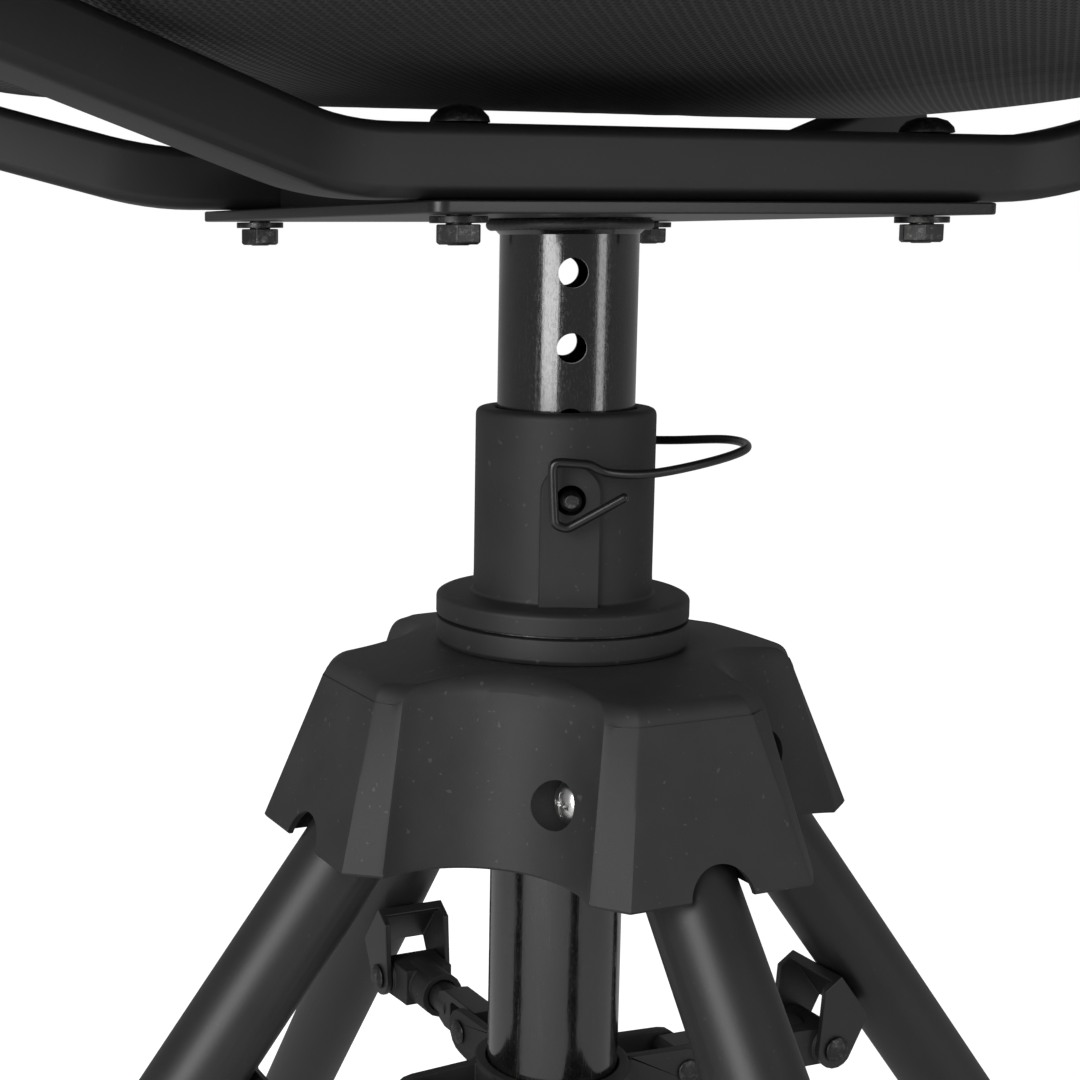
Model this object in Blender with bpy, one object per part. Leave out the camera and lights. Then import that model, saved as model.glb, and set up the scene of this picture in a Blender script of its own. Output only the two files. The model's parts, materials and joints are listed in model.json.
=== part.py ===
"""Four-leg swivel stool: folding legs on a moulded hub, a pinned swivel post and a sling seat."""

import math

import bmesh
import bpy
import numpy as np
from mathutils import Matrix, Vector

# Driving dimensions, in millimetres, with the floor at zero height.
PLATE_Z = 470.0          # underside of the seat plate
POST_D = 38.0            # centre post
POST_WALL = 2.0
POST_BELOW_HUB = 192.0   # how far the post hangs under the hub
LEG_D = 25.0
LEG_WALL = 1.6
LEG_ANGLE = 37.4         # from upright, legs open
HUB_DROP = 118.0         # plate underside down to the hub's top
HUB_H = 50.0
PIVOT_DROP = 30.8        # hub top down to the leg pivots
SCREW_SEAT = 13.2        # leg surface to the seat of a pivot screw's head
FOLD_ANGLE = 25.0
SLEEVE_OUT = 5.9         # post surface to the sleeve's outside
DISC_OUT = 16.4          # post surface to the rim of the flange and the disc
HOLE_D = 8.0
HOLE_PITCH = 20.0
PIN_D = 5.6
PIN_Z_DROP = 74.4        # plate underside down to the lock pin
PIN_AZIMUTH = 243.0
WIRE_D = 2.5
PLATE_L = 160.0
PLATE_W = 152.0
PLATE_T = 3.0
PLATE_CORNER = 4.0
BOLT_X = 66.75
BOLT_Y = 62.0
BOLT_D = 6.0
RAIL_H = 17.0
RAIL_RISE_ANGLE = 16.0
RAIL_FLAT = 100.0
RAIL_SPLAY = 0.38        # sideways spread of the rising ends for each unit of length
RAIL_BEND = 60.0
SEAT_L = 404.0
SEAT_W = 364.0
FRAME_D = 19.0
FRAME_CORNER = 55.0
SLING_RISE = 30.1        # plate underside up to the sling's underside at its middle
SLING_LEAVE = 150.0      # how far round the tube the sling lies, in degrees from level outside
STRUT_D = 10.0
BRACKET_ALONG = 110.0
BRACKET_OUT = 28.0
RING_PIN_OUT = 23.0      # post surface to the ring pins
RING_PIN_RISE = 1.0      # ring pins above the leg rivets
RING_LIFT = 1.6          # ring travel in mm for each degree of leg fold
STRUT_TURN = 2.45        # strut turn for each degree of leg fold
FIT = 0.3                # gap left between touching pieces
SLIDE = 0.45             # running clearance on a radius

HUB_TOP = PLATE_Z - HUB_DROP
HUB_BOTTOM = HUB_TOP - HUB_H
PIVOT_Z = HUB_TOP - PIVOT_DROP
POST_R = POST_D / 2
SLEEVE_R = POST_R + SLEEVE_OUT
DISC_R = POST_R + DISC_OUT
SLING_LOW = PLATE_Z + SLING_RISE
LEG_R = LEG_D / 2
PIVOT_R = POST_R + LEG_R + 17.9
PIN_Z = PLATE_Z - PIN_Z_DROP
POST_BOTTOM = HUB_BOTTOM - POST_BELOW_HUB
ALPHA = math.radians(LEG_ANGLE)
SLOT_T = LEG_R + 0.5     # half width of a leg slot in the hub
EAR_T = LEG_R - 2.5      # half gap between a leg bracket's ears

SCENE = bpy.context.scene
for _old in list(bpy.data.objects):
    bpy.data.objects.remove(_old, do_unlink=True)


def material(name, color, rough, metal=0.0):
    """A plain Principled material."""
    mat = bpy.data.materials.new(name)
    mat.use_nodes = True
    bsdf = mat.node_tree.nodes["Principled BSDF"]
    bsdf.inputs["Base Color"].default_value = (*color, 1.0)
    bsdf.inputs["Roughness"].default_value = rough
    bsdf.inputs["Metallic"].default_value = metal
    return mat


LOOKS = {
    "post": ("gloss_black_paint", (0.012, 0.012, 0.013), 0.22, 0.0),
    "leg": ("satin_black_coat", (0.018, 0.018, 0.019), 0.42, 0.0),
    "moulding": ("matte_black_moulding", (0.022, 0.022, 0.023), 0.62, 0.0),
    "rubber": ("black_rubber", (0.015, 0.015, 0.015), 0.85, 0.0),
    "zinc": ("bright_zinc_steel", (0.62, 0.62, 0.60), 0.28, 1.0),
    "dark": ("blackened_steel", (0.035, 0.035, 0.036), 0.4, 1.0),
    "fabric": ("black_woven_mesh", (0.02, 0.02, 0.021), 0.9, 0.0),
}


def make(name, verts, faces, look):
    """A mesh object from millimetre points and faces, facing outwards."""
    mesh = bpy.data.meshes.new(name)
    points = [tuple(float(c) * 0.001 for c in v) for v in verts]
    mesh.from_pydata(points, [], [tuple(int(i) for i in f) for f in faces])
    bm = bmesh.new()
    bm.from_mesh(mesh)
    bmesh.ops.remove_doubles(bm, verts=bm.verts, dist=1e-7)
    bmesh.ops.recalc_face_normals(bm, faces=bm.faces)
    bm.to_mesh(mesh)
    bm.free()
    obj = bpy.data.objects.new(name, mesh)
    SCENE.collection.objects.link(obj)
    if look:
        title, color, rough, metal = LOOKS[look]
        obj.data.materials.append(material(name + "_" + title, color, rough, metal))
    return obj


def loop_grid(rings, close_u=True, close_v=True, caps=False):
    """Faces of a grid of rings; caps closes the first and last ring."""
    rings = np.asarray(rings, float)
    m, n = rings.shape[:2]
    verts = rings.reshape(-1, 3)
    faces = []
    for i in range(m if close_u else m - 1):
        a, b = i * n, ((i + 1) % m) * n
        for j in range(n if close_v else n - 1):
            k = (j + 1) % n
            faces.append((a + j, a + k, b + k, b + j))
    if caps:
        faces.append(tuple(range(n))[::-1])
        faces.append(tuple((m - 1) * n + j for j in range(n)))
    return verts, faces


def lathe(name, profile, look, seg=32, frame=None):
    """A profile of (radius, height) pairs turned about Z, closed on itself or on the axis."""
    profile = [(max(r, 0.0), z) for r, z in profile]
    solid = profile[0][0] < 1e-9 and profile[-1][0] < 1e-9
    t = np.arange(seg) * 2 * math.pi / seg
    ring = np.stack([np.cos(t), np.sin(t)], 1)
    rows = [np.c_[ring * r, np.full(seg, z)] for r, z in (profile[1:-1] if solid else profile)]
    verts, faces = loop_grid(rows, close_u=not solid, caps=False)
    verts, faces = list(map(tuple, verts)), list(faces)
    if solid:
        for at, row in ((0, 0), (-1, len(rows) - 1)):
            c = len(verts)
            verts.append((0.0, 0.0, profile[at][1]))
            faces += [(row * seg + j, row * seg + (j + 1) % seg, c) for j in range(seg)]
    obj = make(name, verts, faces, look)
    if frame is not None:
        move(obj, frame)
    return obj


def move(obj, frame):
    """Apply a matrix, whose offsets are in millimetres, to the mesh."""
    m = frame.copy()
    m.translation = m.translation * 0.001
    obj.data.transform(m)
    obj.data.update()


def box(name, low, high, look=None, frame=None):
    """A plain block between two corners."""
    (a, b, c), (d, e, f) = low, high
    v = [(a, b, c), (d, b, c), (d, e, c), (a, e, c), (a, b, f), (d, b, f), (d, e, f), (a, e, f)]
    q = [(0, 3, 2, 1), (4, 5, 6, 7), (0, 1, 5, 4), (1, 2, 6, 5), (2, 3, 7, 6), (3, 0, 4, 7)]
    obj = make(name, v, q, look)
    if frame is not None:
        move(obj, frame)
    return obj


def prism(name, outline, low, high, look=None, frame=None):
    """An outline in (x, z) pulled along y from low to high."""
    rows = [[(x, y, z) for x, z in outline] for y in (low, high)]
    verts, faces = loop_grid(rows, close_u=False, caps=True)
    obj = make(name, verts, faces, look)
    if frame is not None:
        move(obj, frame)
    return obj


def rod(name, a, b, r, look=None, seg=24, inner=0.0):
    """A round bar, or a tube with an inner radius, from a to b."""
    a, b = Vector(a), Vector(b)
    d = b - a
    frame = Matrix.Translation(a) @ d.to_track_quat("Z", "Y").to_matrix().to_4x4()
    h = d.length
    shape = [(inner, 0), (r, 0), (r, h), (inner, h)] if inner else [(0, 0), (r, 0), (r, h), (0, h)]
    return lathe(name, shape, look, seg, frame)


def hollow(name, outer, inner, look):
    """A tube open at both ends from matching rings of its outer and inner walls."""
    outer, inner = np.asarray(outer, float), np.asarray(inner, float)
    m, n = outer.shape[:2]
    verts, half = np.concatenate([outer.reshape(-1, 3), inner.reshape(-1, 3)]), m * n
    faces = []
    for i in range(m - 1):
        for j in range(n):
            k = (j + 1) % n
            a, b, c, d = i * n + j, i * n + k, (i + 1) * n + k, (i + 1) * n + j
            faces += [(a, b, c, d), (half + d, half + c, half + b, half + a)]
    for i in (0, m - 1):
        for j in range(n):
            k = (j + 1) % n
            a, b = i * n + j, i * n + k
            faces.append((a, half + a, half + b, b) if i == 0 else (b, half + b, half + a, a))
    return make(name, verts, faces, look)


def sweep(name, path, section, look, inner=None, up=(0, 0, 1)):
    """A closed section of (side, up) pairs carried along a path."""
    path = [Vector(p) for p in path]
    n, up, rows, core = len(path), Vector(up), [], []
    for i, p in enumerate(path):
        before = path[i - 1] if i else p
        after = path[i + 1] if i + 1 < n else p
        d1 = (p - before).normalized() if before != p else (after - p).normalized()
        d2 = (after - p).normalized() if after != p else d1
        t = (d1 + d2).normalized()
        stretch = 1 / max(0.5, t.dot(d1))
        side = t.cross(up).normalized()
        top = side.cross(t).normalized()
        top = top * (stretch if abs(up.z) > 0.5 else 1.0)
        rows.append([tuple(p + side * s + top * u) for s, u in section])
        core.append([tuple(p + side * s + top * u) for s, u in inner or ()])
    if inner:
        return hollow(name, rows, core, look)
    verts, faces = loop_grid(rows, close_u=False, caps=True)
    return make(name, verts, faces, look)


def round_path(name, path, r, look, seg=12, inner=0.0):
    """A round wire or tube bent along a path, turning with it without twist."""
    path = [Vector(p) for p in path]
    n = len(path)
    tang = [(path[min(i + 1, n - 1)] - path[max(i - 1, 0)]).normalized() for i in range(n)]
    ref = Vector((0, 0, 1)) if abs(tang[0].z) < 0.9 else Vector((1, 0, 0))
    side = tang[0].cross(ref).normalized()
    rows, core = [], []
    angles = [2 * math.pi * j / seg for j in range(seg)]
    for i in range(n):
        side = (side - tang[i] * side.dot(tang[i])).normalized()
        top = tang[i].cross(side)
        for out, q in ((rows, r), (core, inner)):
            out.append([tuple(path[i] + (side * math.cos(g) + top * math.sin(g)) * q) for g in angles])
    if inner:
        return hollow(name, rows, core, look)
    verts, faces = loop_grid(rows, close_u=False, caps=True)
    return make(name, verts, faces, look)


def rounded(points, radius, steps=4, closed=False):
    """A path of straight runs with its corners turned into arcs."""
    pts = [Vector(p) for p in points]
    n, out = len(pts), []
    for i, p in enumerate(pts):
        if not closed and i in (0, n - 1):
            out.append(p)
            continue
        a, b = pts[i - 1], pts[(i + 1) % n]
        u, v = (a - p).normalized(), (b - p).normalized()
        half = u.angle(v) / 2
        if half > math.radians(88):
            out.append(p)
            continue
        cut = min(radius / math.tan(half), 0.49 * (a - p).length, 0.49 * (b - p).length)
        s, e = p + u * cut, p + v * cut
        r = cut * math.tan(half)
        c = p + (u + v).normalized() * (r / math.sin(half))
        for k in range(steps + 1):
            w = (s - c).lerp(e - c, k / steps).normalized() * r
            out.append(c + w)
    return out


def boolean(obj, others, kind="DIFFERENCE"):
    """Cut or join solids into the object with exact booleans, then bake the result."""
    for other in others:
        other.hide_render = True
        other.display_type = "WIRE"
        mod = obj.modifiers.new("bool", "BOOLEAN")
        mod.operation, mod.solver, mod.object = kind, "EXACT", other
    bpy.context.view_layer.update()
    graph = bpy.context.evaluated_depsgraph_get()
    mesh = bpy.data.meshes.new_from_object(obj.evaluated_get(graph))
    obj.modifiers.clear()
    mats = list(obj.data.materials)
    obj.data = mesh
    obj.data.materials.clear()
    for mat in mats[:1]:
        obj.data.materials.append(mat)
    for poly in obj.data.polygons:
        poly.material_index = 0
    for other in others:
        bpy.data.objects.remove(other, do_unlink=True)
    return obj


def origin(obj, at):
    """Put the object's origin at a point in millimetres, leaving the shape where it is."""
    at = Vector(at) * 0.001
    obj.data.transform(Matrix.Translation(-at))
    obj.location = at
    return obj


def turn(deg):
    """A turn about Z."""
    return Matrix.Rotation(math.radians(deg), 4, "Z")


# ---- frames of one leg: local x outwards, y along the hinge pin, z up ----
def leg_point(along, out):
    """A point in a leg's own plane: along the tube from the pivot, and out of it on the inner side."""
    return (
        PIVOT_R + along * math.sin(ALPHA) - out * math.cos(ALPHA),
        PIVOT_Z - along * math.cos(ALPHA) - out * math.sin(ALPHA),
    )


LEG_FRAME = Matrix.Translation((PIVOT_R, 0, PIVOT_Z)) @ Matrix.Rotation(-ALPHA, 4, "Y")
# in this frame local z points up the leg and local -x lies on its inner, lower side

RIVET_X, RIVET_Z = leg_point(BRACKET_ALONG, BRACKET_OUT)
RING_PIN_R = POST_R + RING_PIN_OUT
RING_PIN_Z = RIVET_Z + RING_PIN_RISE


def strut_travel():
    """How near and far along the strut, and how far off its line, the ring pin comes as the legs fold."""
    turn0 = math.atan2(RING_PIN_RISE, RIVET_X - RING_PIN_R)
    along, off = [], []
    for i in range(51):
        fold = math.radians(FOLD_ANGLE) * i / 50
        a = ALPHA - fold
        x = PIVOT_R + BRACKET_ALONG * math.sin(a) - BRACKET_OUT * math.cos(a)
        z = PIVOT_Z - BRACKET_ALONG * math.cos(a) - BRACKET_OUT * math.sin(a)
        dx, dz = RING_PIN_R - x, RING_PIN_Z + RING_LIFT * math.degrees(fold) - z
        g = turn0 + fold * (1 + STRUT_TURN)
        along.append(-dx * math.cos(g) + dz * math.sin(g))
        off.append(abs(dx * math.sin(g) + dz * math.cos(g)))
    return turn0, min(along), max(along), max(off)


STRUT_TILT, PIN_NEAR, PIN_FAR, PIN_OFF = strut_travel()
FOOT_T = 6.0
LEG_END = (PIVOT_Z - LEG_R * math.sin(ALPHA) - FOOT_T) / math.cos(ALPHA)
SIDES = ((0, "right"), (90, "back"), (180, "left"), (270, "front"))
EAR_GAP = STRUT_D / 2 + 0.6
EYE_T = STRUT_D / 2


# ---- hub ----
def hub_outline(z):
    """The hub's plan at one height: four flat-ended arms with chamfers and hollow faces between."""
    k = (HUB_TOP - 6 - z) / (HUB_H - 7)
    face = PIVOT_R + LEG_R + 4.1 + 14.2 * k
    half = LEG_R + 4.0 + 10.5 * k
    sx, sy = LEG_R + 11.5 + 9.6 * k, face - 4.5 - 4.0 * k
    mid = PIVOT_R - 0.9 + 8.6 * k
    d, l = (sx + sy) / math.sqrt(2), (sy - sx) / math.sqrt(2)
    sag = d - mid
    r = (l * l + sag * sag) / (2 * sag)
    centre, spread = mid + r, math.asin(min(0.999, l / r))
    out = []
    for q in range(4):
        cs, sn = math.cos(q * math.pi / 2), math.sin(q * math.pi / 2)
        local = [(sy, -sx), (face, -half), (face, 0.0), (face, half), (sy, sx)]
        for i in range(1, 8):
            g = spread - 2 * spread * i / 8
            dd, ll = centre - r * math.cos(g), r * math.sin(g)
            local.append(((dd + ll) / math.sqrt(2), (dd - ll) / math.sqrt(2)))
        out += [(x * cs - y * sn, x * sn + y * cs) for x, y in local]
    return np.array(out)


def build_hub():
    """Loft the plan, round its top, then cut bore, leg slots, notches, screw holes and cores."""
    bore = POST_R + SLIDE
    def inset(plan, by):
        length = np.linalg.norm(plan, axis=1, keepdims=True)
        return plan * (1 - by / length)
    def at(plan, z):
        z = np.broadcast_to(z, (len(plan),))
        return np.c_[plan, z]
    low, shoulder = hub_outline(HUB_BOTTOM), hub_outline(HUB_TOP - 8)
    ang = np.arctan2(low[:, 1], low[:, 0])
    unit = np.c_[np.cos(ang), np.sin(ang)]
    crown = min(DISC_R + 5, PIVOT_R - 9)
    def roof(plan):
        return HUB_TOP - 0.13 * np.maximum(0, np.linalg.norm(plan, axis=1) - crown)
    c1, c2 = inset(shoulder, 1.4), inset(shoulder, 4.6)
    rows = [
        at(unit * bore, HUB_BOTTOM), at(low, HUB_BOTTOM), at(shoulder, HUB_TOP - 8),
        at(c1, roof(c2) - 1.7), at(c2, roof(c2)), at(unit * crown, HUB_TOP), at(unit * bore, HUB_TOP),
    ]
    verts, faces = loop_grid(rows)
    hub = make("hub_shell", verts, faces, "moulding")
    cuts = []
    top = PIVOT_Z + LEG_R + 3.2
    wall = PIVOT_R + LEG_R + 4.1 - 3.4
    low_wall = wall + 14.2 * (HUB_H - 6 + 6) / (HUB_H - 7)
    for deg, name in SIDES:
        f = turn(deg)
        outline = [(PIVOT_R - LEG_R - 4.5, HUB_BOTTOM - 8), (low_wall + 2.0, HUB_BOTTOM - 8),
                   (low_wall - 0.4, HUB_BOTTOM), (wall + 2.4, top - 0.5), (wall, top), (PIVOT_R - LEG_R - 4.5, top)]
        cuts.append(prism("cut", outline, -SLOT_T, SLOT_T, None, f))
        notch = rod(
            "cut", (PIVOT_R + LEG_R, 0, HUB_BOTTOM - 1), (PIVOT_R + LEG_R + 40, 0, HUB_BOTTOM - 1), 9.6,
            None, 20)
        move(notch, f)
        cuts.append(notch)
        head = LEG_R + SCREW_SEAT
        for y0, y1, r in ((-head - 40, -head, 6.5), (-head - 1, LEG_R + 12.5, 2.9)):
            hole = rod("cut", (PIVOT_R, y0, PIVOT_Z), (PIVOT_R, y1, PIVOT_Z), r, None, 20)
            move(hole, f)
            cuts.append(hole)
        core = rod(
            "cut", (PIVOT_R - 11.5, 0, HUB_BOTTOM - 4), (PIVOT_R - 11.5, 0, HUB_BOTTOM + 34), 6.5, None, 16)
        move(core, turn(deg + 45))
        cuts.append(core)
    return boolean(hub, cuts)


build_hub()

# ---- swivel stack ----
BASE_Z = HUB_TOP + FIT
lathe(
    "bearing_base",
    [
        (POST_R + 0.8, BASE_Z), (DISC_R - 1, BASE_Z), (DISC_R, BASE_Z + 1), (DISC_R, BASE_Z + 6.9),
        (POST_R + 0.8, BASE_Z + 6.9)],
    "moulding", 44)
WASH_Z = BASE_Z + 7.1
lathe(
    "swivel_washer",
    [
        (POST_R + 2, WASH_Z), (DISC_R - 1.6, WASH_Z), (DISC_R - 1.6, WASH_Z + 0.6),
        (POST_R + 2, WASH_Z + 0.6)],
    "zinc", 32)

PIN_DIR = Vector((math.cos(math.radians(PIN_AZIMUTH)), math.sin(math.radians(PIN_AZIMUTH)), 0))
PIN_SIDE = Vector((-PIN_DIR.y, PIN_DIR.x, 0))


def on_pin(p, q, z):
    """A point p along the lock pin's line, q to its side, at height z."""
    v = PIN_DIR * p + PIN_SIDE * q
    return (v.x, v.y, z)


COLLAR_Z = WASH_Z + 0.8
SLEEVE_TOP = PIN_Z + 22.9
B = POST_R + SLIDE
collar = lathe("swivel_collar", [
    (B, COLLAR_Z), (DISC_R - 0.3, COLLAR_Z), (DISC_R, COLLAR_Z + 0.3), (DISC_R, COLLAR_Z + 4.4), (DISC_R - 1.5, COLLAR_Z + 5.9),
    (SLEEVE_R + 0.9, COLLAR_Z + 6.1), (SLEEVE_R, COLLAR_Z + 7.0), (SLEEVE_R, SLEEVE_TOP - 3.2), (
        SLEEVE_R - 0.8, SLEEVE_TOP - 1.0),
    (SLEEVE_R - 2.4, SLEEVE_TOP), (B + 0.8, SLEEVE_TOP), (B, SLEEVE_TOP - 0.8)], "moulding", 44)
PAD = SLEEVE_R + 0.8
joins, pad_turn = [], Matrix.Rotation(math.radians(PIN_AZIMUTH - 90), 4, "Z")
arch = [(8.0 * math.cos(math.radians(g)), PIN_Z + 1.5 + 8.0 * math.sin(math.radians(g))) for g in range(0, 181, 15)]
arch += [(-8.0, COLLAR_Z + 4.0), (8.0, COLLAR_Z + 4.0)]
for ends in ((SLEEVE_R - 4, PAD), (-PAD, -SLEEVE_R + 4)):
    joins.append(prism("join", arch, *ends, None, pad_turn))
boolean(collar, joins, "UNION")
boolean(collar, [rod("cut", on_pin(-40, 0, PIN_Z), on_pin(40, 0, PIN_Z), HOLE_D / 2 + 0.1, None, 20)])

# ---- post ----
POST_TOP = PLATE_Z - FIT
post = lathe("seat_post", [
    (
        POST_R - POST_WALL, POST_BOTTOM), (POST_R, POST_BOTTOM), (POST_R, POST_TOP - 4.0), (POST_R + 1.2, POST_TOP - 3.2),
    (POST_R + 2.6, POST_TOP - 1.6), (POST_R + 3.0, POST_TOP), (POST_R - POST_WALL, POST_TOP)], "post", 36)
holes = []
for step in range(-4, 4):
    z = PIN_Z + step * HOLE_PITCH
    holes.append(rod("cut", on_pin(-30, 0, z), on_pin(30, 0, z), HOLE_D / 2, None, 14))
boolean(post, holes)
CAP_R = POST_R - POST_WALL - FIT
lathe(
    "post_cap",
    [
        (0, POST_BOTTOM - 3.3), (POST_R - 1.5, POST_BOTTOM - 3.3), (POST_R, POST_BOTTOM - 2),
        (POST_R, POST_BOTTOM - FIT), (CAP_R, POST_BOTTOM - FIT), (CAP_R, POST_BOTTOM + 12),
        (0, POST_BOTTOM + 12)],
    "moulding", 24)

# ---- lock pin and its wire bail ----
pin_frame = Matrix.Translation(on_pin(0, 0, PIN_Z)) @ PIN_DIR.to_track_quat("Z", "Y").to_matrix().to_4x4()
HEAD = SLEEVE_R + 1.6
pin = lathe(
    "lock_pin",
    [
        (0, -HEAD - 7), (5.2, -HEAD - 7), (6.4, -HEAD - 5.8), (6.4, -HEAD), (PIN_D / 2, -HEAD),
        (PIN_D / 2, HEAD + 1.3), (PIN_D / 2 - 1.0, HEAD + 2.6), (0, HEAD + 2.6)],
    "dark", 20, pin_frame)
HINGE_P = -HEAD - 3.5
boolean(
    pin,
    [rod("cut", on_pin(HINGE_P, 0, PIN_Z - 12), on_pin(HINGE_P, 0, PIN_Z + 12), WIRE_D / 2 + 0.3, None, 14)])
origin(pin, on_pin(0, 0, PIN_Z))
FRONT = HEAD + 4.2 + WIRE_D / 2
wire = rounded([
    on_pin(HINGE_P, 0, PIN_Z - 8.5), on_pin(HINGE_P, 0, PIN_Z + 11.2), on_pin(-24, 29, PIN_Z + 11.0), on_pin(-10, 47, PIN_Z + 13.2), on_pin(2, 50.5, PIN_Z + 12.0),
    on_pin(13, 41, PIN_Z + 9.6), on_pin(24.5, 22.5, PIN_Z + 7.2), on_pin(FRONT - 1.5, 12, PIN_Z + 7.2), on_pin(FRONT, 4, PIN_Z + 10.4),
    on_pin(FRONT, -5.6, PIN_Z + 11.2), on_pin(FRONT, -4.6, PIN_Z - 5.6), on_pin(FRONT, -1.2, PIN_Z - 6.8), on_pin(
        FRONT + 0.6, 14.4, PIN_Z + 2.4)], 3.2, 3)
origin(round_path("bail_wire", wire, WIRE_D / 2, "dark", 8), on_pin(HINGE_P, 0, PIN_Z))

# ---- plate, bolts, rails ----
def corner_outline(length, width, radius, steps=5):
    """A rounded rectangle in plan."""
    out = []
    for q, (sx, sy) in enumerate(((1, 1), (-1, 1), (-1, -1), (1, -1))):
        for k in range(steps + 1):
            g = math.pi / 2 * (q + k / steps)
            out.append(
                (sx * (length / 2 - radius) + radius * math.cos(g), sy * (width / 2 - radius) + radius * math.sin(g)))
    return out


plan = corner_outline(PLATE_L, PLATE_W, PLATE_CORNER)
verts, faces = loop_grid(
    [[(x, y, z) for x, y in plan] for z in (PLATE_Z, PLATE_Z + PLATE_T)], close_u=False, caps=True)
plate = make("seat_plate", verts, faces, "leg")
BOLTS = [(sx * BOLT_X, sy * BOLT_Y) for sx, sy in ((1, 1), (-1, 1), (-1, -1), (1, -1))]
HOLE_R = BOLT_D / 2 + 0.3
boolean(
    plate,
    [rod("cut", (x, y, PLATE_Z - 2), (x, y, PLATE_Z + PLATE_T + 2), HOLE_R, None, 14) for x, y in BOLTS])

RAIL_BOTTOM = PLATE_Z + PLATE_T + FIT
RAIL_Z = RAIL_BOTTOM + RAIL_H / 2
SLOPE = math.radians(RAIL_RISE_ANGLE)
FRAME_R = FRAME_D / 2
REACH = SEAT_L / 2 - FRAME_R
RAIL_END_X = REACH + 5.5
RISE = (RAIL_END_X - RAIL_FLAT) * math.tan(SLOPE)
HEADING = math.atan(RAIL_SPLAY)
CLIMB = math.atan(math.tan(SLOPE) * math.cos(HEADING))
RAIL_SKEW = RAIL_H / 2 * math.tan(HEADING) * math.tan(CLIMB)   # the rail's higher side edge under the tube
STACK = RAIL_H / 2 / math.cos(CLIMB) + RAIL_SKEW + (FRAME_R + FIT) / math.cos(SLOPE)
FRAME_Z = RAIL_Z + (REACH - RAIL_FLAT) * math.tan(SLOPE) + STACK


def rounded_section(width, height, radius, steps=3):
    """A rounded rectangle as a section of (side, up) pairs."""
    return corner_outline(width, height, radius, steps)


for sy, name in ((-1, "front"), (1, "back")):
    end_y = BOLT_Y + RAIL_SPLAY * (RAIL_END_X - RAIL_FLAT)
    corners = [(-RAIL_END_X, sy * end_y, RAIL_Z + RISE), (-RAIL_FLAT, sy * BOLT_Y, RAIL_Z)]
    corners += [(-x, y, z) for x, y, z in reversed(corners)]
    path = rounded(corners, RAIL_BEND, 6)
    rail = sweep(
        "rail_" + name, path, rounded_section(RAIL_H, RAIL_H, 3.2), "leg",
        rounded_section(RAIL_H - 3.0, RAIL_H - 3.0, 1.8))
    cut = [rod("cut", (sx * BOLT_X, sy * BOLT_Y, RAIL_BOTTOM - 2), (sx * BOLT_X, sy * BOLT_Y, RAIL_BOTTOM + RAIL_H + 2), HOLE_R, None, 12) for sx in (1, -1)]
    boolean(rail, cut)

FACE = BOLT_Y - RAIL_H / 2 - FIT
cx = -PLATE_L / 2 + 33
outline = [
    (cx - 17, RAIL_BOTTOM), (cx + 17, RAIL_BOTTOM), (cx + 17, RAIL_BOTTOM + 13),
    (cx + 15, RAIL_BOTTOM + 13), (cx + 15, RAIL_BOTTOM + 2), (cx - 15, RAIL_BOTTOM + 2),
    (cx - 15, RAIL_BOTTOM + 13), (cx - 17, RAIL_BOTTOM + 13)]
prism("cross_channel", outline, -FACE, FACE, "leg")

TOP = RAIL_BOTTOM + RAIL_H + FIT
for (x, y), tag in zip(BOLTS, ("a", "b", "c", "d")):
    f = Matrix.Translation((x, y, 0))
    rb = BOLT_D / 2
    end = PLATE_Z - 7.0
    lathe(
        "seat_bolt_" + tag,
        [
            (0, end), (rb - 0.6, end), (rb, end + 0.6), (rb, TOP), (7.0, TOP), (6.6, TOP + 1.4),
            (5.0, TOP + 3.0), (2.6, TOP + 3.8), (0, TOP + 4.0)],
        "dark", 16, f)
    lathe(
        "bolt_washer_" + tag,
        [(rb + 0.4, PLATE_Z - 1.9), (6.8, PLATE_Z - 1.9), (6.8, PLATE_Z - FIT), (rb + 0.4, PLATE_Z - FIT)],
        "dark", 18, f)
    nut = lathe(
        "bolt_nut_" + tag,
        [
            (0, PLATE_Z - 6.8), (5.0, PLATE_Z - 6.8), (5.75, PLATE_Z - 6.3), (5.75, PLATE_Z - 2.2),
            (0, PLATE_Z - 2.2)],
        "dark", 6, f)
    boolean(nut, [rod("cut", (x, y, PLATE_Z - 9), (x, y, PLATE_Z), rb + 0.25, None, 16)])

# ---- seat frame and sling ----
BACK_Y = SEAT_W / 2 - FRAME_R
loop = [
    (0.3, BACK_Y, FRAME_Z), (REACH, BACK_Y, FRAME_Z), (REACH, -BACK_Y, FRAME_Z),
    (-REACH, -BACK_Y, FRAME_Z), (-REACH, BACK_Y, FRAME_Z), (-0.3, BACK_Y, FRAME_Z)]
round_path("seat_frame", rounded(loop, FRAME_CORNER, 7), FRAME_R, "leg", 12, FRAME_R - 1.5)


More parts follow.
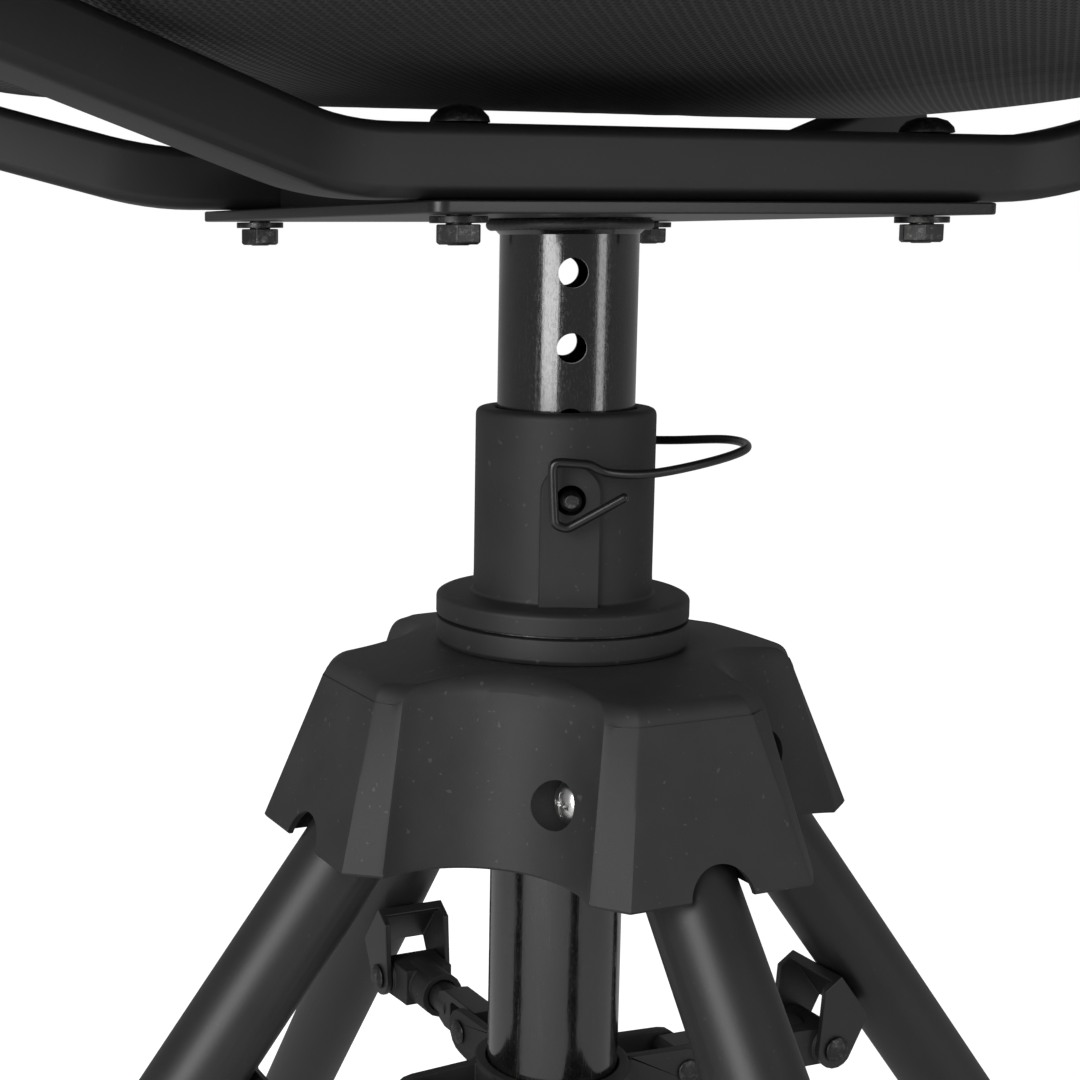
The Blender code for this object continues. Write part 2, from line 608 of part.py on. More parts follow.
def build_sling():
    """A thin sheet from outside the tube over its top, then steeply down to a nearly flat middle."""
    thick, over = 1.2, FRAME_R + FIT
    corners = [(sx * REACH, sy * BACK_Y, 0) for sx, sy in ((1, 1), (-1, 1), (-1, -1), (1, -1))]
    base = rounded(corners, FRAME_CORNER, 7, closed=True)
    n = len(base)
    def edge(offset):
        points = []
        for i, p in enumerate(base):
            along = (base[(i + 1) % n] - base[i - 1]).normalized()
            normal = Vector((along.y, -along.x, 0))
            if normal.dot(p) < 0:
                normal = -normal
            q = p + normal * offset
            points.append((q.x, q.y))
        return np.array(points)
    low, high = [], []
    for degrees in np.arange(-30.0, SLING_LEAVE + 1, 30.0):
        a = math.radians(degrees)
        for rows, r in ((low, over), (high, over + thick)):
            rows.append(np.c_[edge(r * math.cos(a)), np.full(n, FRAME_Z + r * math.sin(a))])
    leave = math.radians(SLING_LEAVE)
    inner, start = edge(over * math.cos(leave)), FRAME_Z + over * math.sin(leave)
    reach = np.abs(inner).max(0)
    for s in (0.96, 0.91, 0.85, 0.77, 0.66, 0.5, 0.25):
        plan = inner * s
        x, y = np.abs(plan[:, 0]) / reach[0], np.abs(plan[:, 1]) / reach[1]
        z = start - (start - SLING_LOW) * (1 - x ** 12) * (1 - y ** 2.6) * (1 - s ** 14)
        low.append(np.c_[plan, z])
        high.append(np.c_[plan, z + thick])
    grid = low + high[::-1]
    m = len(grid)
    faces = []
    for i in range(m):
        if i == len(low) - 1:
            continue
        for j in range(n):
            k, after = (j + 1) % n, (i + 1) % m
            faces.append((i * n + j, i * n + k, after * n + k, after * n + j))
    for row in (len(low) - 1, len(low)):
        faces.append(tuple(range(row * n, row * n + n)))
    return make("seat_sling", np.concatenate(grid), faces, "fabric")


build_sling()

# ---- legs, feet, brackets, struts, ring ----
PIVOT = (PIVOT_R, 0, PIVOT_Z)
for deg, side in SIDES:
    f = turn(deg)
    pivot = f @ Vector(PIVOT)
    rivet = f @ Vector((RIVET_X, 0, RIVET_Z))
    # tube, its top rounded about the pivot
    leg = lathe(
        "leg_" + side,
        [(LEG_R - LEG_WALL, -LEG_END), (LEG_R, -LEG_END), (LEG_R, 9.0), (LEG_R - LEG_WALL, 9.0)], "leg",
        28, f @ LEG_FRAME)
    hole = rod("cut", (PIVOT_R, -30, PIVOT_Z), (PIVOT_R, 30, PIVOT_Z), 2.9, None, 16)
    move(hole, f)
    boolean(leg, [hole])
    origin(leg, pivot)
    # foot boot: sleeve on the tube with a closed tread below
    s = LEG_R + FIT
    drop = -LEG_END - 24.0
    boot = lathe(
        "foot_" + side,
        [
            (0, drop), (s + 3.4, drop), (s + 3.0, -LEG_END + 4), (s + 2.2, -LEG_END + 30),
            (s + 1.2, -LEG_END + 34), (s, -LEG_END + 34), (s, -LEG_END - FIT), (0, -LEG_END - FIT)],
        "rubber", 20, f @ LEG_FRAME)
    boolean(boot, [box("cut", (-900, -900, -200), (900, 900, 0))])
    origin(boot, pivot)
    # pivot screw from one side, its head sunk in the hub
    head = LEG_R + SCREW_SEAT
    screw_frame = f @ Matrix.Translation(PIVOT) @ Matrix.Rotation(-math.pi / 2, 4, "X")
    screw = lathe(
        "pivot_screw_" + side,
        [
            (0, -head - 3.3), (2.6, -head - 3.1), (4.7, -head - 2.2), (5.4, -head - 0.9),
            (5.4, -head - FIT), (2.6, -head - FIT), (2.6, LEG_R + 11), (0, LEG_R + 11)],
        "zinc", 16, screw_frame)
    cross = []
    for dx, dz in ((3.2, 0.65), (0.65, 3.2)):
        c = box("cut", (PIVOT_R - dx, -head - 6, PIVOT_Z - dz), (PIVOT_R + dx, -head - 1.9, PIVOT_Z + dz))
        move(c, f)
        cross.append(c)
    boolean(screw, cross)
    # bracket: base on the tube's inner side with two ears round the strut fitting
    def at(along, out):
        x, z = leg_point(along, out)
        return (x, z)
    t0, t1, er = EAR_T, EAR_T + 2.0, 6.4
    base_out = LEG_R + FIT
    ear = [at(BRACKET_ALONG - 18, base_out), at(BRACKET_ALONG, base_out)]
    for k in range(9):
        g = math.radians(-14 + 20 * k)
        ear.append(at(BRACKET_ALONG + er * math.cos(g), BRACKET_OUT + er * math.sin(g)))
    ear.append(at(BRACKET_ALONG - 18.5, base_out + 7))
    bracket = prism("leg_bracket_" + side, ear, -t1, t1, "leg")
    web = base_out + 3.2
    inner = [at(BRACKET_ALONG - 16, base_out + 2), at(BRACKET_ALONG + 20, base_out + 2), at(
        BRACKET_ALONG + 20, BRACKET_OUT + 20),
             at(
                 BRACKET_ALONG - 40, BRACKET_OUT + 20), at(BRACKET_ALONG - 40, web), at(BRACKET_ALONG - 16, web)]
    tools = [
        prism("cut", inner, -t0, t0),
        rod("cut", (RIVET_X, -30, RIVET_Z), (RIVET_X, 30, RIVET_Z), 2.8, None, 16)]
    boolean(bracket, tools)
    move(bracket, f)
    origin(bracket, pivot)
    # rivet through ears and strut fitting
    rivet_frame = f @ Matrix.Translation((RIVET_X, 0, RIVET_Z)) @ Matrix.Rotation(-math.pi / 2, 4, "X")
    e = t1 + FIT
    rv = lathe(
        "strut_rivet_" + side,
        [
            (0, -e - 1.6), (2.6, -e - 1.6), (4.2, -e - 0.6), (4.2, -e), (2.5, -e), (2.5, e), (4.2, e),
            (4.2, e + 0.6), (2.6, e + 1.6), (0, e + 1.6)],
        "dark", 12, rivet_frame)
    origin(rv, pivot)
    # moulded fitting at the strut's outer end
    wide = EAR_T - 0.5
    fit = rod(
        "strut_fitting_" + side, (RIVET_X, -wide, RIVET_Z), (RIVET_X, wide, RIVET_Z), 6.2, "moulding", 18)
    neck = prism(
        "join",
        [
            (RIVET_X - 14, RIVET_Z - 6.0), (RIVET_X, RIVET_Z - 6.0), (RIVET_X, RIVET_Z + 6.0),
            (RIVET_X - 14, RIVET_Z + 6.0)],
        -wide + 1.0, wide - 1.0)
    sock = rod("join", (RIVET_X - 24, 0, RIVET_Z), (RIVET_X - 6, 0, RIVET_Z), STRUT_D / 2 + 2.4, None, 18)
    boolean(fit, [neck, sock], "UNION")
    bore_ = rod("cut", (RIVET_X - 30, 0, RIVET_Z), (RIVET_X - 12, 0, RIVET_Z), STRUT_D / 2 + FIT, None, 16)
    boolean(fit, [bore_, rod("cut", (RIVET_X, -30, RIVET_Z), (RIVET_X, 30, RIVET_Z), 2.8, None, 16)])
    tilt = Matrix.Translation((RIVET_X, 0, RIVET_Z)) @ Matrix.Rotation(STRUT_TILT, 4, "Y") @ Matrix.Translation((-RIVET_X, 0, -RIVET_Z))
    move(fit, f @ tilt)
    origin(fit, rivet)
    # strut tube with a flattened, slotted inner end
    def on_strut(reach, high):
        return (RIVET_X - reach, RIVET_Z + high)
    slot_h, slot_n, slot_f = PIN_OFF + 2.0 + FIT, PIN_NEAR - 2.4, PIN_FAR + 2.4
    tab_h, tip = slot_h + 2.2, slot_f + 2.2
    strut = rod(
        "strut_" + side, (RIVET_X - slot_n + 3.5, 0, RIVET_Z), (RIVET_X - 12.4, 0, RIVET_Z), STRUT_D / 2,
        "leg", 20)
    eye = [
        on_strut(slot_n - 8, -4.6), on_strut(slot_n - 4, -tab_h), on_strut(tip - 2.5, -tab_h),
        on_strut(tip, -tab_h + 2.5), on_strut(tip, tab_h - 2.5), on_strut(tip - 2.5, tab_h),
        on_strut(slot_n - 4, tab_h), on_strut(slot_n - 8, 4.6)]
    boolean(strut, [prism("join", eye, -EYE_T + 0.6, EYE_T - 0.6)], "UNION")
    slot = [
        on_strut(slot_n, -slot_h + 1), on_strut(slot_n + 1, -slot_h), on_strut(slot_f - 1, -slot_h),
        on_strut(slot_f, -slot_h + 1), on_strut(slot_f, slot_h - 1), on_strut(slot_f - 1, slot_h),
        on_strut(slot_n + 1, slot_h), on_strut(slot_n, slot_h - 1)]
    boolean(strut, [prism("cut", slot, -20, 20)])
    tilt = Matrix.Translation((RIVET_X, 0, RIVET_Z)) @ Matrix.Rotation(STRUT_TILT, 4, "Y") @ Matrix.Translation((-RIVET_X, 0, -RIVET_Z))
    move(strut, f @ tilt)
    origin(strut, rivet)

RING_LOW, RING_HIGH = RING_PIN_Z - 11, RING_PIN_Z + 8.5
RB = POST_R + SLIDE
ring = lathe(
    "slider_ring",
    [
        (RB, RING_LOW), (RB + 3.7, RING_LOW), (RB + 3.7, RING_HIGH - 1), (RB + 2.7, RING_HIGH),
        (RB, RING_HIGH)],
    "moulding", 36)
lugs, bores = [], []
for deg, side in SIDES:
    f = turn(deg)
    for s in (-1, 1):
        a, b = sorted((s * EAR_GAP, s * (EAR_GAP + 3)))
        outline = [(POST_R + 2.0, RING_PIN_Z - 9), (RING_PIN_R, RING_PIN_Z - 7)]
        for k in range(1, 8):
            g = math.radians(-90 + 22.5 * k)
            outline.append((RING_PIN_R + 7 * math.cos(g), RING_PIN_Z + 7 * math.sin(g)))
        outline += [(RING_PIN_R, RING_PIN_Z + 7), (POST_R + 2.0, RING_PIN_Z + 8)]
        lugs.append(prism("join", outline, a, b, None, f))
    hole = rod("cut", (RING_PIN_R, -20, RING_PIN_Z), (RING_PIN_R, 20, RING_PIN_Z), 2.3, None, 16)
    move(hole, f)
    bores.append(hole)
    e = EAR_GAP + 3 + FIT
    pin_f = f @ Matrix.Translation((RING_PIN_R, 0, RING_PIN_Z)) @ Matrix.Rotation(-math.pi / 2, 4, "X")
    lathe(
        "ring_pin_" + side,
        [
            (0, -e - 1.4), (2.4, -e - 1.4), (3.8, -e - 0.5), (3.8, -e), (2.0, -e), (2.0, e), (3.8, e),
            (3.8, e + 0.5), (2.4, e + 1.4), (0, e + 1.4)],
        "dark", 12, pin_f)
boolean(ring, lugs, "UNION")
boolean(ring, bores + [rod("cut", (0, 0, RING_LOW - 5), (0, 0, RING_HIGH + 5), RB, None, 36)])
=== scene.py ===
"""Finished looks of a folding field stool: coated tubes, a moulded hub, a pinned post and a mesh sling."""

import json
import math

import bmesh
import bpy
import numpy as np
from mathutils import Matrix, Vector

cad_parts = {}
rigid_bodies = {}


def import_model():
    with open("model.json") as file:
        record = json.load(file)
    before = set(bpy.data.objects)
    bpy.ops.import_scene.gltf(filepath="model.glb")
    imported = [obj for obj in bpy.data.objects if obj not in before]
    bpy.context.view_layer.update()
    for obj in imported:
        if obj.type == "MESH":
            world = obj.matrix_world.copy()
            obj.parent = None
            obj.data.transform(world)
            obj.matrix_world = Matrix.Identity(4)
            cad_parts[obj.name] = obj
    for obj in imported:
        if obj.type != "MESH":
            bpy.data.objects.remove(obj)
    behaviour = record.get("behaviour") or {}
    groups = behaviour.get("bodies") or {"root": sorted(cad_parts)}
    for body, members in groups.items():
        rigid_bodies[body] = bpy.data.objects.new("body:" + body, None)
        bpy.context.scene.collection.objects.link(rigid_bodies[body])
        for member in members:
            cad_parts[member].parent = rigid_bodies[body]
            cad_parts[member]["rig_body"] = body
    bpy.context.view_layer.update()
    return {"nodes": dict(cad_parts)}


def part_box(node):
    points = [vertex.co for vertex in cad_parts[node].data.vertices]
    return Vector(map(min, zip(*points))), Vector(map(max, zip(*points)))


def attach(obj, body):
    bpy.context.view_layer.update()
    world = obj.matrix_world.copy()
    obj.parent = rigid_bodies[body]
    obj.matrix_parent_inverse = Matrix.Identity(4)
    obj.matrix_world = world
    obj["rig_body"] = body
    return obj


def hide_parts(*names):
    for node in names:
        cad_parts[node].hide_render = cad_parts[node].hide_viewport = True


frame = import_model()
NODES = frame["nodes"]
SIDES = (("right", 0.0), ("back", 90.0), ("left", 180.0), ("front", 270.0))
RNG = np.random.default_rng(7)


# ---- sizes, in millimetres, read from the frame ----
def span(node):
    """A CAD node's lowest and highest corners in millimetres."""
    low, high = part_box(node)
    return np.array(low) * 1000, np.array(high) * 1000


HUB_LOW, HUB_HIGH = span("hub_shell")
HUB_TOP, HUB_BOTTOM = HUB_HIGH[2], HUB_LOW[2]
SCREW = sum(span("pivot_screw_right")) / 2
PIVOT_R, PIVOT_Z = SCREW[0], SCREW[2]
POST_R = span("post_cap")[1][0]
POST_BOTTOM, POST_TOP = span("seat_post")[0][2], span("seat_post")[1][2]
LEG_R = 12.5
BASE_LOW, BASE_HIGH = span("bearing_base")
DISC_R = BASE_HIGH[0]
COLLAR_Z, SLEEVE_TOP = span("swivel_collar")[0][2], span("swivel_collar")[1][2]
SLEEVE_R = DISC_R - 10.5
PIN_Z = sum(span("lock_pin"))[2] / 2
PIN_AIM = math.radians(243.0)
PIN_DIR = Vector((math.cos(PIN_AIM), math.sin(PIN_AIM), 0))
PIN_SIDE = Vector((-PIN_DIR.y, PIN_DIR.x, 0))
PLATE_Z = span("seat_plate")[0][2]
FRAME_LOW, FRAME_HIGH = span("seat_frame")
FRAME_R = (FRAME_HIGH[2] - FRAME_LOW[2]) / 2
FRAME_Z = (FRAME_HIGH[2] + FRAME_LOW[2]) / 2
REACH_X, REACH_Y = FRAME_HIGH[0] - FRAME_R, FRAME_HIGH[1] - FRAME_R
CORNER = 55.0
SLIDE = 0.45
SCREW_SEAT = -span("pivot_screw_right")[0][1] - 3.3   # the head is 3.3 high
WELL_R = 6.5
SLING_LOW = span("seat_sling")[0][2] + 0.6            # middle of the 1.2 cloth


# ---- shader maths ----
class Value:
    """A socket that adds its own Math nodes when it is used in arithmetic."""

    def __init__(self, net, socket):
        self.net, self.socket = net, socket

    def maths(self, operation, *others):
        return self.net.node("Math", {"operation": operation}, *others)

    def __add__(self, other):
        return self.maths("ADD", self, other)

    def __sub__(self, other):
        return self.maths("SUBTRACT", self, other)

    def __rsub__(self, other):
        return self.maths("SUBTRACT", other, self)

    def __mul__(self, other):
        return self.maths("MULTIPLY", self, other)

    def __pow__(self, other):
        return self.maths("POWER", self, other)

    def above(self, low, high):
        """0 below low, 1 above high, and even between."""
        return self.net.node("MapRange", {}, self, low, high, 0.0, 1.0)

    __radd__, __rmul__ = __add__, __mul__


class Net:
    """A finish: one Principled material and the nodes that shape it."""

    def __init__(self, name, **constants):
        self.mat = bpy.data.materials.new(name)
        self.mat.use_nodes = True
        self.tree = self.mat.node_tree
        self.bsdf = self.tree.nodes["Principled BSDF"]
        for key, value in constants.items():
            self.bsdf.inputs[key.replace("_", " ")].default_value = value

    def node(self, kind, settings, *values, out=0, **named):
        """Any node: its settings first, then the values or links of its sockets, by place or by name."""
        made = self.tree.nodes.new("ShaderNode" + kind)
        for key, value in settings.items():
            if key == "stops":
                ramp = made.color_ramp
                for spot, (where, tone) in zip((ramp.elements[0], ramp.elements[1]), value):
                    spot.position, spot.color = where, (tone, tone, tone, 1)
            else:
                setattr(made, key, value)
        pairs = list(enumerate(values)) + [(k.replace("_", " "), v) for k, v in named.items()]
        for key, value in pairs:
            if isinstance(value, Value):
                self.tree.links.new(value.socket, made.inputs[key])
            else:
                made.inputs[key].default_value = value
        return Value(self, made.outputs[out])

    def place(self, stretch=(1, 1, 1), turn=(0, 0, 0)):
        """Object coordinates in millimetres, stretched along the axes."""
        spot = self.node("TexCoord", {}, out=3)
        scale = tuple(1000.0 * s for s in stretch)
        return self.node("Mapping", {}, spot, (0, 0, 0), turn, scale)

    def cloud(self, where, scale, detail=3.0, rough=0.55):
        """Noise from 0 to 1, with scale in cycles for each millimetre."""
        return self.node("TexNoise", {}, where, 0.0, scale, detail, rough)

    def tint(self, mask, low, high):
        """One colour where the mask is 0, another where it is 1."""
        made = self.tree.nodes.new("ShaderNodeMix")
        made.data_type = "RGBA"
        self.tree.links.new(mask.socket, made.inputs[0])
        for slot_at, colour in ((6, low), (7, high)):
            if isinstance(colour, Value):
                self.tree.links.new(colour.socket, made.inputs[slot_at])
            else:
                made.inputs[slot_at].default_value = (*colour, 1)
        return Value(self, made.outputs[2])

    def bump(self, height, depth, strength=1.0, under=None):
        """A surface relief whose full height is depth millimetres."""
        more = {"Normal": under} if under else {}
        return self.node("Bump", {}, Strength=strength, Distance=depth * 0.001, Height=height, **more)

    def feed(self, **sockets):
        """Join what varies to the shader."""
        for key, value in sockets.items():
            self.tree.links.new(value.socket, self.bsdf.inputs[key.replace("_", " ")])
        return self.mat


def grey(tone, warm=0.0):
    """A near-neutral colour."""
    return (tone * (1 + warm), tone, tone * (1 - warm))


def moulding_finish(name, tone, seed, scuff=0.5):
    """Matte moulded plastic: fine spark grain, cloudy tone, faint drag scuffs and a few pale specks."""
    net = Net(name, Specular_IOR_Level=0.42, IOR=1.48)
    at = net.place(turn=(0.3 * seed, 0.2 * seed, 0.7 * seed))
    grain = net.cloud(at, 2.6, 2.0, 0.6)
    broad = net.cloud(at, 0.045, 4.0, 0.6)
    drag = net.cloud(net.place((0.9, 0.07, 0.9), (0.4, 0.2, seed)), 0.5, 5.0, 0.7).above(0.62, 0.8)
    speck = net.cloud(at, 0.55, 1.0, 0.4).above(0.735, 0.76)
    mark = drag * broad.above(0.45, 0.7) * scuff
    tone_mask = (broad * 0.55 + mark * 0.45 + speck * 0.7).above(0.15, 1.0)
    colour = net.tint(tone_mask, grey(tone * 0.72), grey(tone * 2.3, 0.01))
    rough = 0.5 + grain * 0.12 + broad * 0.1 - mark * 0.1
    return net.feed(Base_Color=colour, Roughness=rough, Normal=net.bump(grain + mark * 0.6, 0.05, 0.55))


def coat_finish(name, tone, seed, rough_low=0.34, peel=0.03):
    """Baked satin coating on steel: soft orange peel, dust and a few dull rubs."""
    net = Net(name, Specular_IOR_Level=0.5, IOR=1.5)
    at = net.place(turn=(0.2 * seed, 0.5, 0.3 * seed))
    skin_noise = net.cloud(at, 0.8, 2.0, 0.5)
    fine = net.cloud(at, 4.0, 2.0, 0.6)
    broad = net.cloud(at, 0.03, 4.0, 0.6)
    rub = net.cloud(net.place((0.25, 0.9, 0.25), (0.1, 0.4, seed)), 0.35, 5.0, 0.7).above(0.66, 0.8)
    dust = net.cloud(at, 0.7, 1.0, 0.4).above(0.74, 0.78)
    colour = net.tint(
        (broad * 0.5 + rub * 0.3 + dust * 0.6).above(0.1, 1.0), grey(tone * 0.7), grey(tone * 2.4)
    )
    rough = rough_low + fine * 0.1 + broad * 0.1 + rub * 0.08
    relief = net.bump(skin_noise + fine * 0.25, peel, 0.6)
    return net.feed(Base_Color=colour, Roughness=rough, Normal=relief)


def gloss_finish(name, tone):
    """Thin gloss paint over drawn tube: drawing lines, grit under the film and sliding marks."""
    net = Net(name, Specular_IOR_Level=0.6, IOR=1.55, Coat_Roughness=0.08, Coat_IOR=1.5)
    lines = net.cloud(net.place((1, 1, 0.02)), 1.3, 4.0, 0.7)
    wide = net.cloud(net.place((1, 1, 0.01)), 0.22, 3.0, 0.6)
    grit = net.cloud(net.place((1, 1, 0.35)), 2.2, 2.0, 0.6)
    patch = net.cloud(net.place((1, 1, 0.3)), 0.09, 3.0, 0.6)
    worn = lines.above(0.56, 0.75) * patch.above(0.42, 0.62)
    colour = net.tint(worn, grey(tone * 0.8), grey(tone * 4.0))
    rough = 0.12 + grit.above(0.45, 0.75) * 0.2 + worn * 0.18
    relief = net.bump(lines * 0.5 + wide * 1.2 + grit * 0.3, 0.07, 0.7)
    return net.feed(Base_Color=colour, Roughness=rough, Normal=relief, Coat_Weight=0.35 + patch * 0.4)


def steel_finish(name, tone, rough_low, seed, bright=0.25):
    """Plated or blackened steel: turning marks, dull blotches and bright rubbed spots."""
    net = Net(name, Metallic=1.0)
    at = net.place(turn=(0.3, 0.2 * seed, 0.5))
    blotch = net.cloud(at, 0.5, 4.0, 0.6)
    fine = net.cloud(at, 3.5, 3.0, 0.6)
    rubbed = (blotch * 0.6 + fine * 0.4).above(0.52, 0.72)
    colour = net.tint(rubbed, grey(tone, 0.01), grey(tone + bright, 0.01))
    rough = rough_low + fine * 0.16 - rubbed * 0.08
    return net.feed(Base_Color=colour, Roughness=rough, Normal=net.bump(fine, 0.03, 0.5))


def rubber_finish(name, tone):
    """Dull rubber: bloomed tone and a soft grain."""
    net = Net(name, Specular_IOR_Level=0.35)
    at = net.place()
    bloom = net.cloud(at, 0.08, 5.0, 0.65)
    grain = net.cloud(at, 1.6, 3.0, 0.6)
    colour = net.tint(bloom.above(0.3, 0.8), grey(tone), grey(tone * 3.0, 0.03))
    return net.feed(Base_Color=colour, Roughness=0.7 + grain * 0.2, Normal=net.bump(grain, 0.08, 0.6))


MESH_PITCH = 1.45


def mesh_finish(name, tone):
    """Coated yarn mesh: two round-backed yarn sets cross over and under; the colour paints a highlight along each
    yarn's middle, shade on its sides and where it passes under, and dark shade in the holes.
    """
    net = Net(name, Specular_IOR_Level=0.45, IOR=1.48)
    uv = net.node("UVMap", {"uv_map": "cloth"})
    parts = net.tree.nodes.new("ShaderNodeSeparateXYZ")
    net.tree.links.new(uv.socket, parts.inputs[0])
    turns = 1000.0 / MESH_PITCH
    u, v = Value(net, parts.outputs[0]) * turns, Value(net, parts.outputs[1]) * turns

    def ridge(across):
        """Rounded back of a yarn, 1 along its middle and 0 in the hole beside it."""
        wave = (across * (2 * math.pi)).maths("COSINE", across * (2 * math.pi))
        return (wave * 0.5 + 0.5).above(0.12, 1.0) ** 0.5

    def over(along, step):
        """1 where the yarn lies on top, changing at each crossing."""
        wave = (along * math.pi + step * math.pi).maths("SINE", along * math.pi + step * math.pi)
        return wave * 0.5 + 0.5

    warp, weft = ridge(u), ridge(v)
    lift_warp = over(v, u.maths("ROUND", u))
    lift_weft = over(u, v.maths("ROUND", v) + 1.0)
    # Lowered where a yarn passes under: a relief that, through the colour below, also paints shade on that yarn.
    warp_relief_and_shade, weft_relief_and_shade = warp * (lift_warp * 0.6 + 0.4), weft * (lift_weft * 0.6 + 0.4)
    cloth = warp_relief_and_shade.maths("MAXIMUM", warp_relief_and_shade, weft_relief_and_shade)
    broad = net.cloud(net.place(), 0.03, 3.0, 0.6)
    slub = net.cloud(net.node("Mapping", {}, uv, (0, 0, 0), (0, 0, 0), (90.0, 900.0, 1.0)), 1.0, 3.0, 0.6)
    # Painted shade and highlight: light along each yarn's middle, dark on its sides, where it passes under and in
    # the holes.
    colour = net.tint(
        (cloth * 0.8 + broad * 0.2 + slub * 0.15).above(0.1, 1.0), grey(tone * 0.12), grey(tone * 1.6)
    )
    rough = 0.72 - cloth * 0.26 + slub * 0.1
    return net.feed(Base_Color=colour, Roughness=rough, Normal=net.bump(cloth + slub * 0.15, 0.32, 0.9))


def thread_finish(name, tone):
    """Bonded sewing thread with its ply turning round it."""
    net = Net(name, Specular_IOR_Level=0.4, Roughness=0.55)
    ply = net.cloud(net.place((1, 1, 1)), 3.0, 2.0, 0.6)
    return net.feed(
        Base_Color=net.tint(ply, grey(tone * 0.6), grey(tone * 1.8)), Normal=net.bump(ply, 0.06, 0.7)
    )


def weld_finish(name, tone):
    """Coated weld metal: stacked ripples, small pits and a thin film over them."""
    net = Net(name, Specular_IOR_Level=0.5)
    at = net.place()
    pits = net.cloud(at, 1.1, 4.0, 0.65)
    return net.feed(
        Base_Color=net.tint(pits.above(0.3, 0.8), grey(tone), grey(tone * 3.0)),
        Roughness=0.28 + pits * 0.25,
        Normal=net.bump(pits, 0.16, 0.7),
    )


HUB_PLASTIC = moulding_finish("hub_spark_grain", 0.020, 1.0)
COLLAR_PLASTIC = moulding_finish("collar_spark_grain", 0.016, 2.0, 0.6)
DISC_PLASTIC = moulding_finish("disc_rubbed_plastic", 0.018, 3.0, 1.0)
RING_PLASTIC = moulding_finish("ring_plastic", 0.016, 4.0, 0.8)
LEG_COAT = coat_finish("leg_satin_coat", 0.011, 1.0, 0.36)
SEAT_COAT = coat_finish("seat_frame_coat", 0.007, 2.0, 0.40)
PLATE_COAT = coat_finish("plate_coat", 0.010, 3.0, 0.26, 0.05)
BRACKET_COAT = coat_finish("bracket_coat", 0.012, 4.0, 0.3, 0.04)
POST_PAINT = gloss_finish("post_gloss_paint", 0.006)
ZINC = steel_finish("screw_bright_zinc", 0.55, 0.22, 1.0)
DARK_STEEL = steel_finish("bolt_blackened_steel", 0.05, 0.34, 2.0, 0.16)
WIRE_STEEL = coat_finish("wire_black_coat", 0.008, 5.0, 0.2, 0.01)
RUBBER = rubber_finish("foot_rubber", 0.012)
MESH = mesh_finish("sling_yarn_mesh", 0.03)
THREAD = thread_finish("hem_thread", 0.02)
WELD = weld_finish("coated_weld", 0.010)


# ---- surfaces ----
def quads(m, n, closed=False, around=True):
    """Faces of an m by n grid: each cell joins a point to the next one along both ways."""
    i = np.arange(m if closed else m - 1)[:, None]
    j = np.arange(n if around else n - 1)[None, :]
    a, b, k = i * n, (i + 1) % m * n, (j + 1) % n
    return np.stack(np.broadcast_arrays(a + j, a + k, b + k, b + j), -1).reshape(-1, 4)


def skin(name, points, finish, closed=False, around=True, lids=False, sharp=40.0):
    """A mesh from an m by n by 3 grid of points in millimetres, with flat lids on its ends if asked."""
    m, n = points.shape[:2]
    faces = quads(m, n, closed, around).tolist()
    if lids:
        faces += [list(range(n))[::-1], list(range((m - 1) * n, m * n))]
    mesh = bpy.data.meshes.new(name)
    mesh.from_pydata((points.reshape(-1, 3) * 0.001).tolist(), [], faces)
    piece = bpy.data.objects.new(name, mesh)
    bpy.context.scene.collection.objects.link(piece)
    tidy(piece)
    shade(piece, sharp)
    if finish:
        mesh.materials.append(finish)
    return piece


def tidy(piece, merge=2e-6):
    """Close seams and poles and point the faces outwards."""
    bm = bmesh.new()
    bm.from_mesh(piece.data)
    bmesh.ops.remove_doubles(bm, verts=bm.verts, dist=merge)
    bmesh.ops.recalc_face_normals(bm, faces=bm.faces)
    bm.to_mesh(piece.data)
    bm.free()


def shade(piece, sharp):
    """Smooth faces, with edges left crisp where they turn by more than the angle."""
    piece.data.polygons.foreach_set("use_smooth", np.ones(len(piece.data.polygons), bool))
    piece.data.set_sharp_from_angle(angle=math.radians(sharp))


def eased(profile, radius, steps=4, closed=True):
    """A profile with each corner swept through an arc-like curve of up to the radius given for it."""
    pts = [np.array(p, float) for p in profile]
    n, out = len(pts), []
    radii = np.broadcast_to(radius, (n,))
    for i, p in enumerate(pts):
        if not closed and i in (0, n - 1):
            out.append(p)
            continue
        a, b = pts[i - 1] - p, pts[(i + 1) % n] - p
        la, lb = np.linalg.norm(a), np.linalg.norm(b)
        cut = min(radii[i], 0.42 * la, 0.42 * lb)
        s, e = p + a / la * cut, p + b / lb * cut
        t = np.linspace(0, 1, steps + 1)[:, None]
        out += list((1 - t) ** 2 * s + 2 * t * (1 - t) * p + t**2 * e)
    return np.array(out)


def turned(name, profile, finish, place=None, seg=96, ease=0.5, solid=False, sharp=40.0):
    """A profile of (radius, height) pairs spun about Z and set in place; a solid one starts and ends at r = 0."""
    line = eased(profile, ease, closed=not solid)
    g = np.arange(seg) * 2 * math.pi / seg
    r, z = line[:, 0][:, None], line[:, 1][:, None]
    points = np.stack([r * np.cos(g), r * np.sin(g), z + 0 * g], -1)
    piece = skin(name, points, finish, closed=not solid, sharp=sharp)
    if place is not None:
        set_in(piece, place)
    return piece


def set_in(piece, place):
    """Apply a matrix, whose offsets are in millimetres, to the mesh."""
    moved = place.copy()
    moved.translation = moved.translation * 0.001
    piece.data.transform(moved)


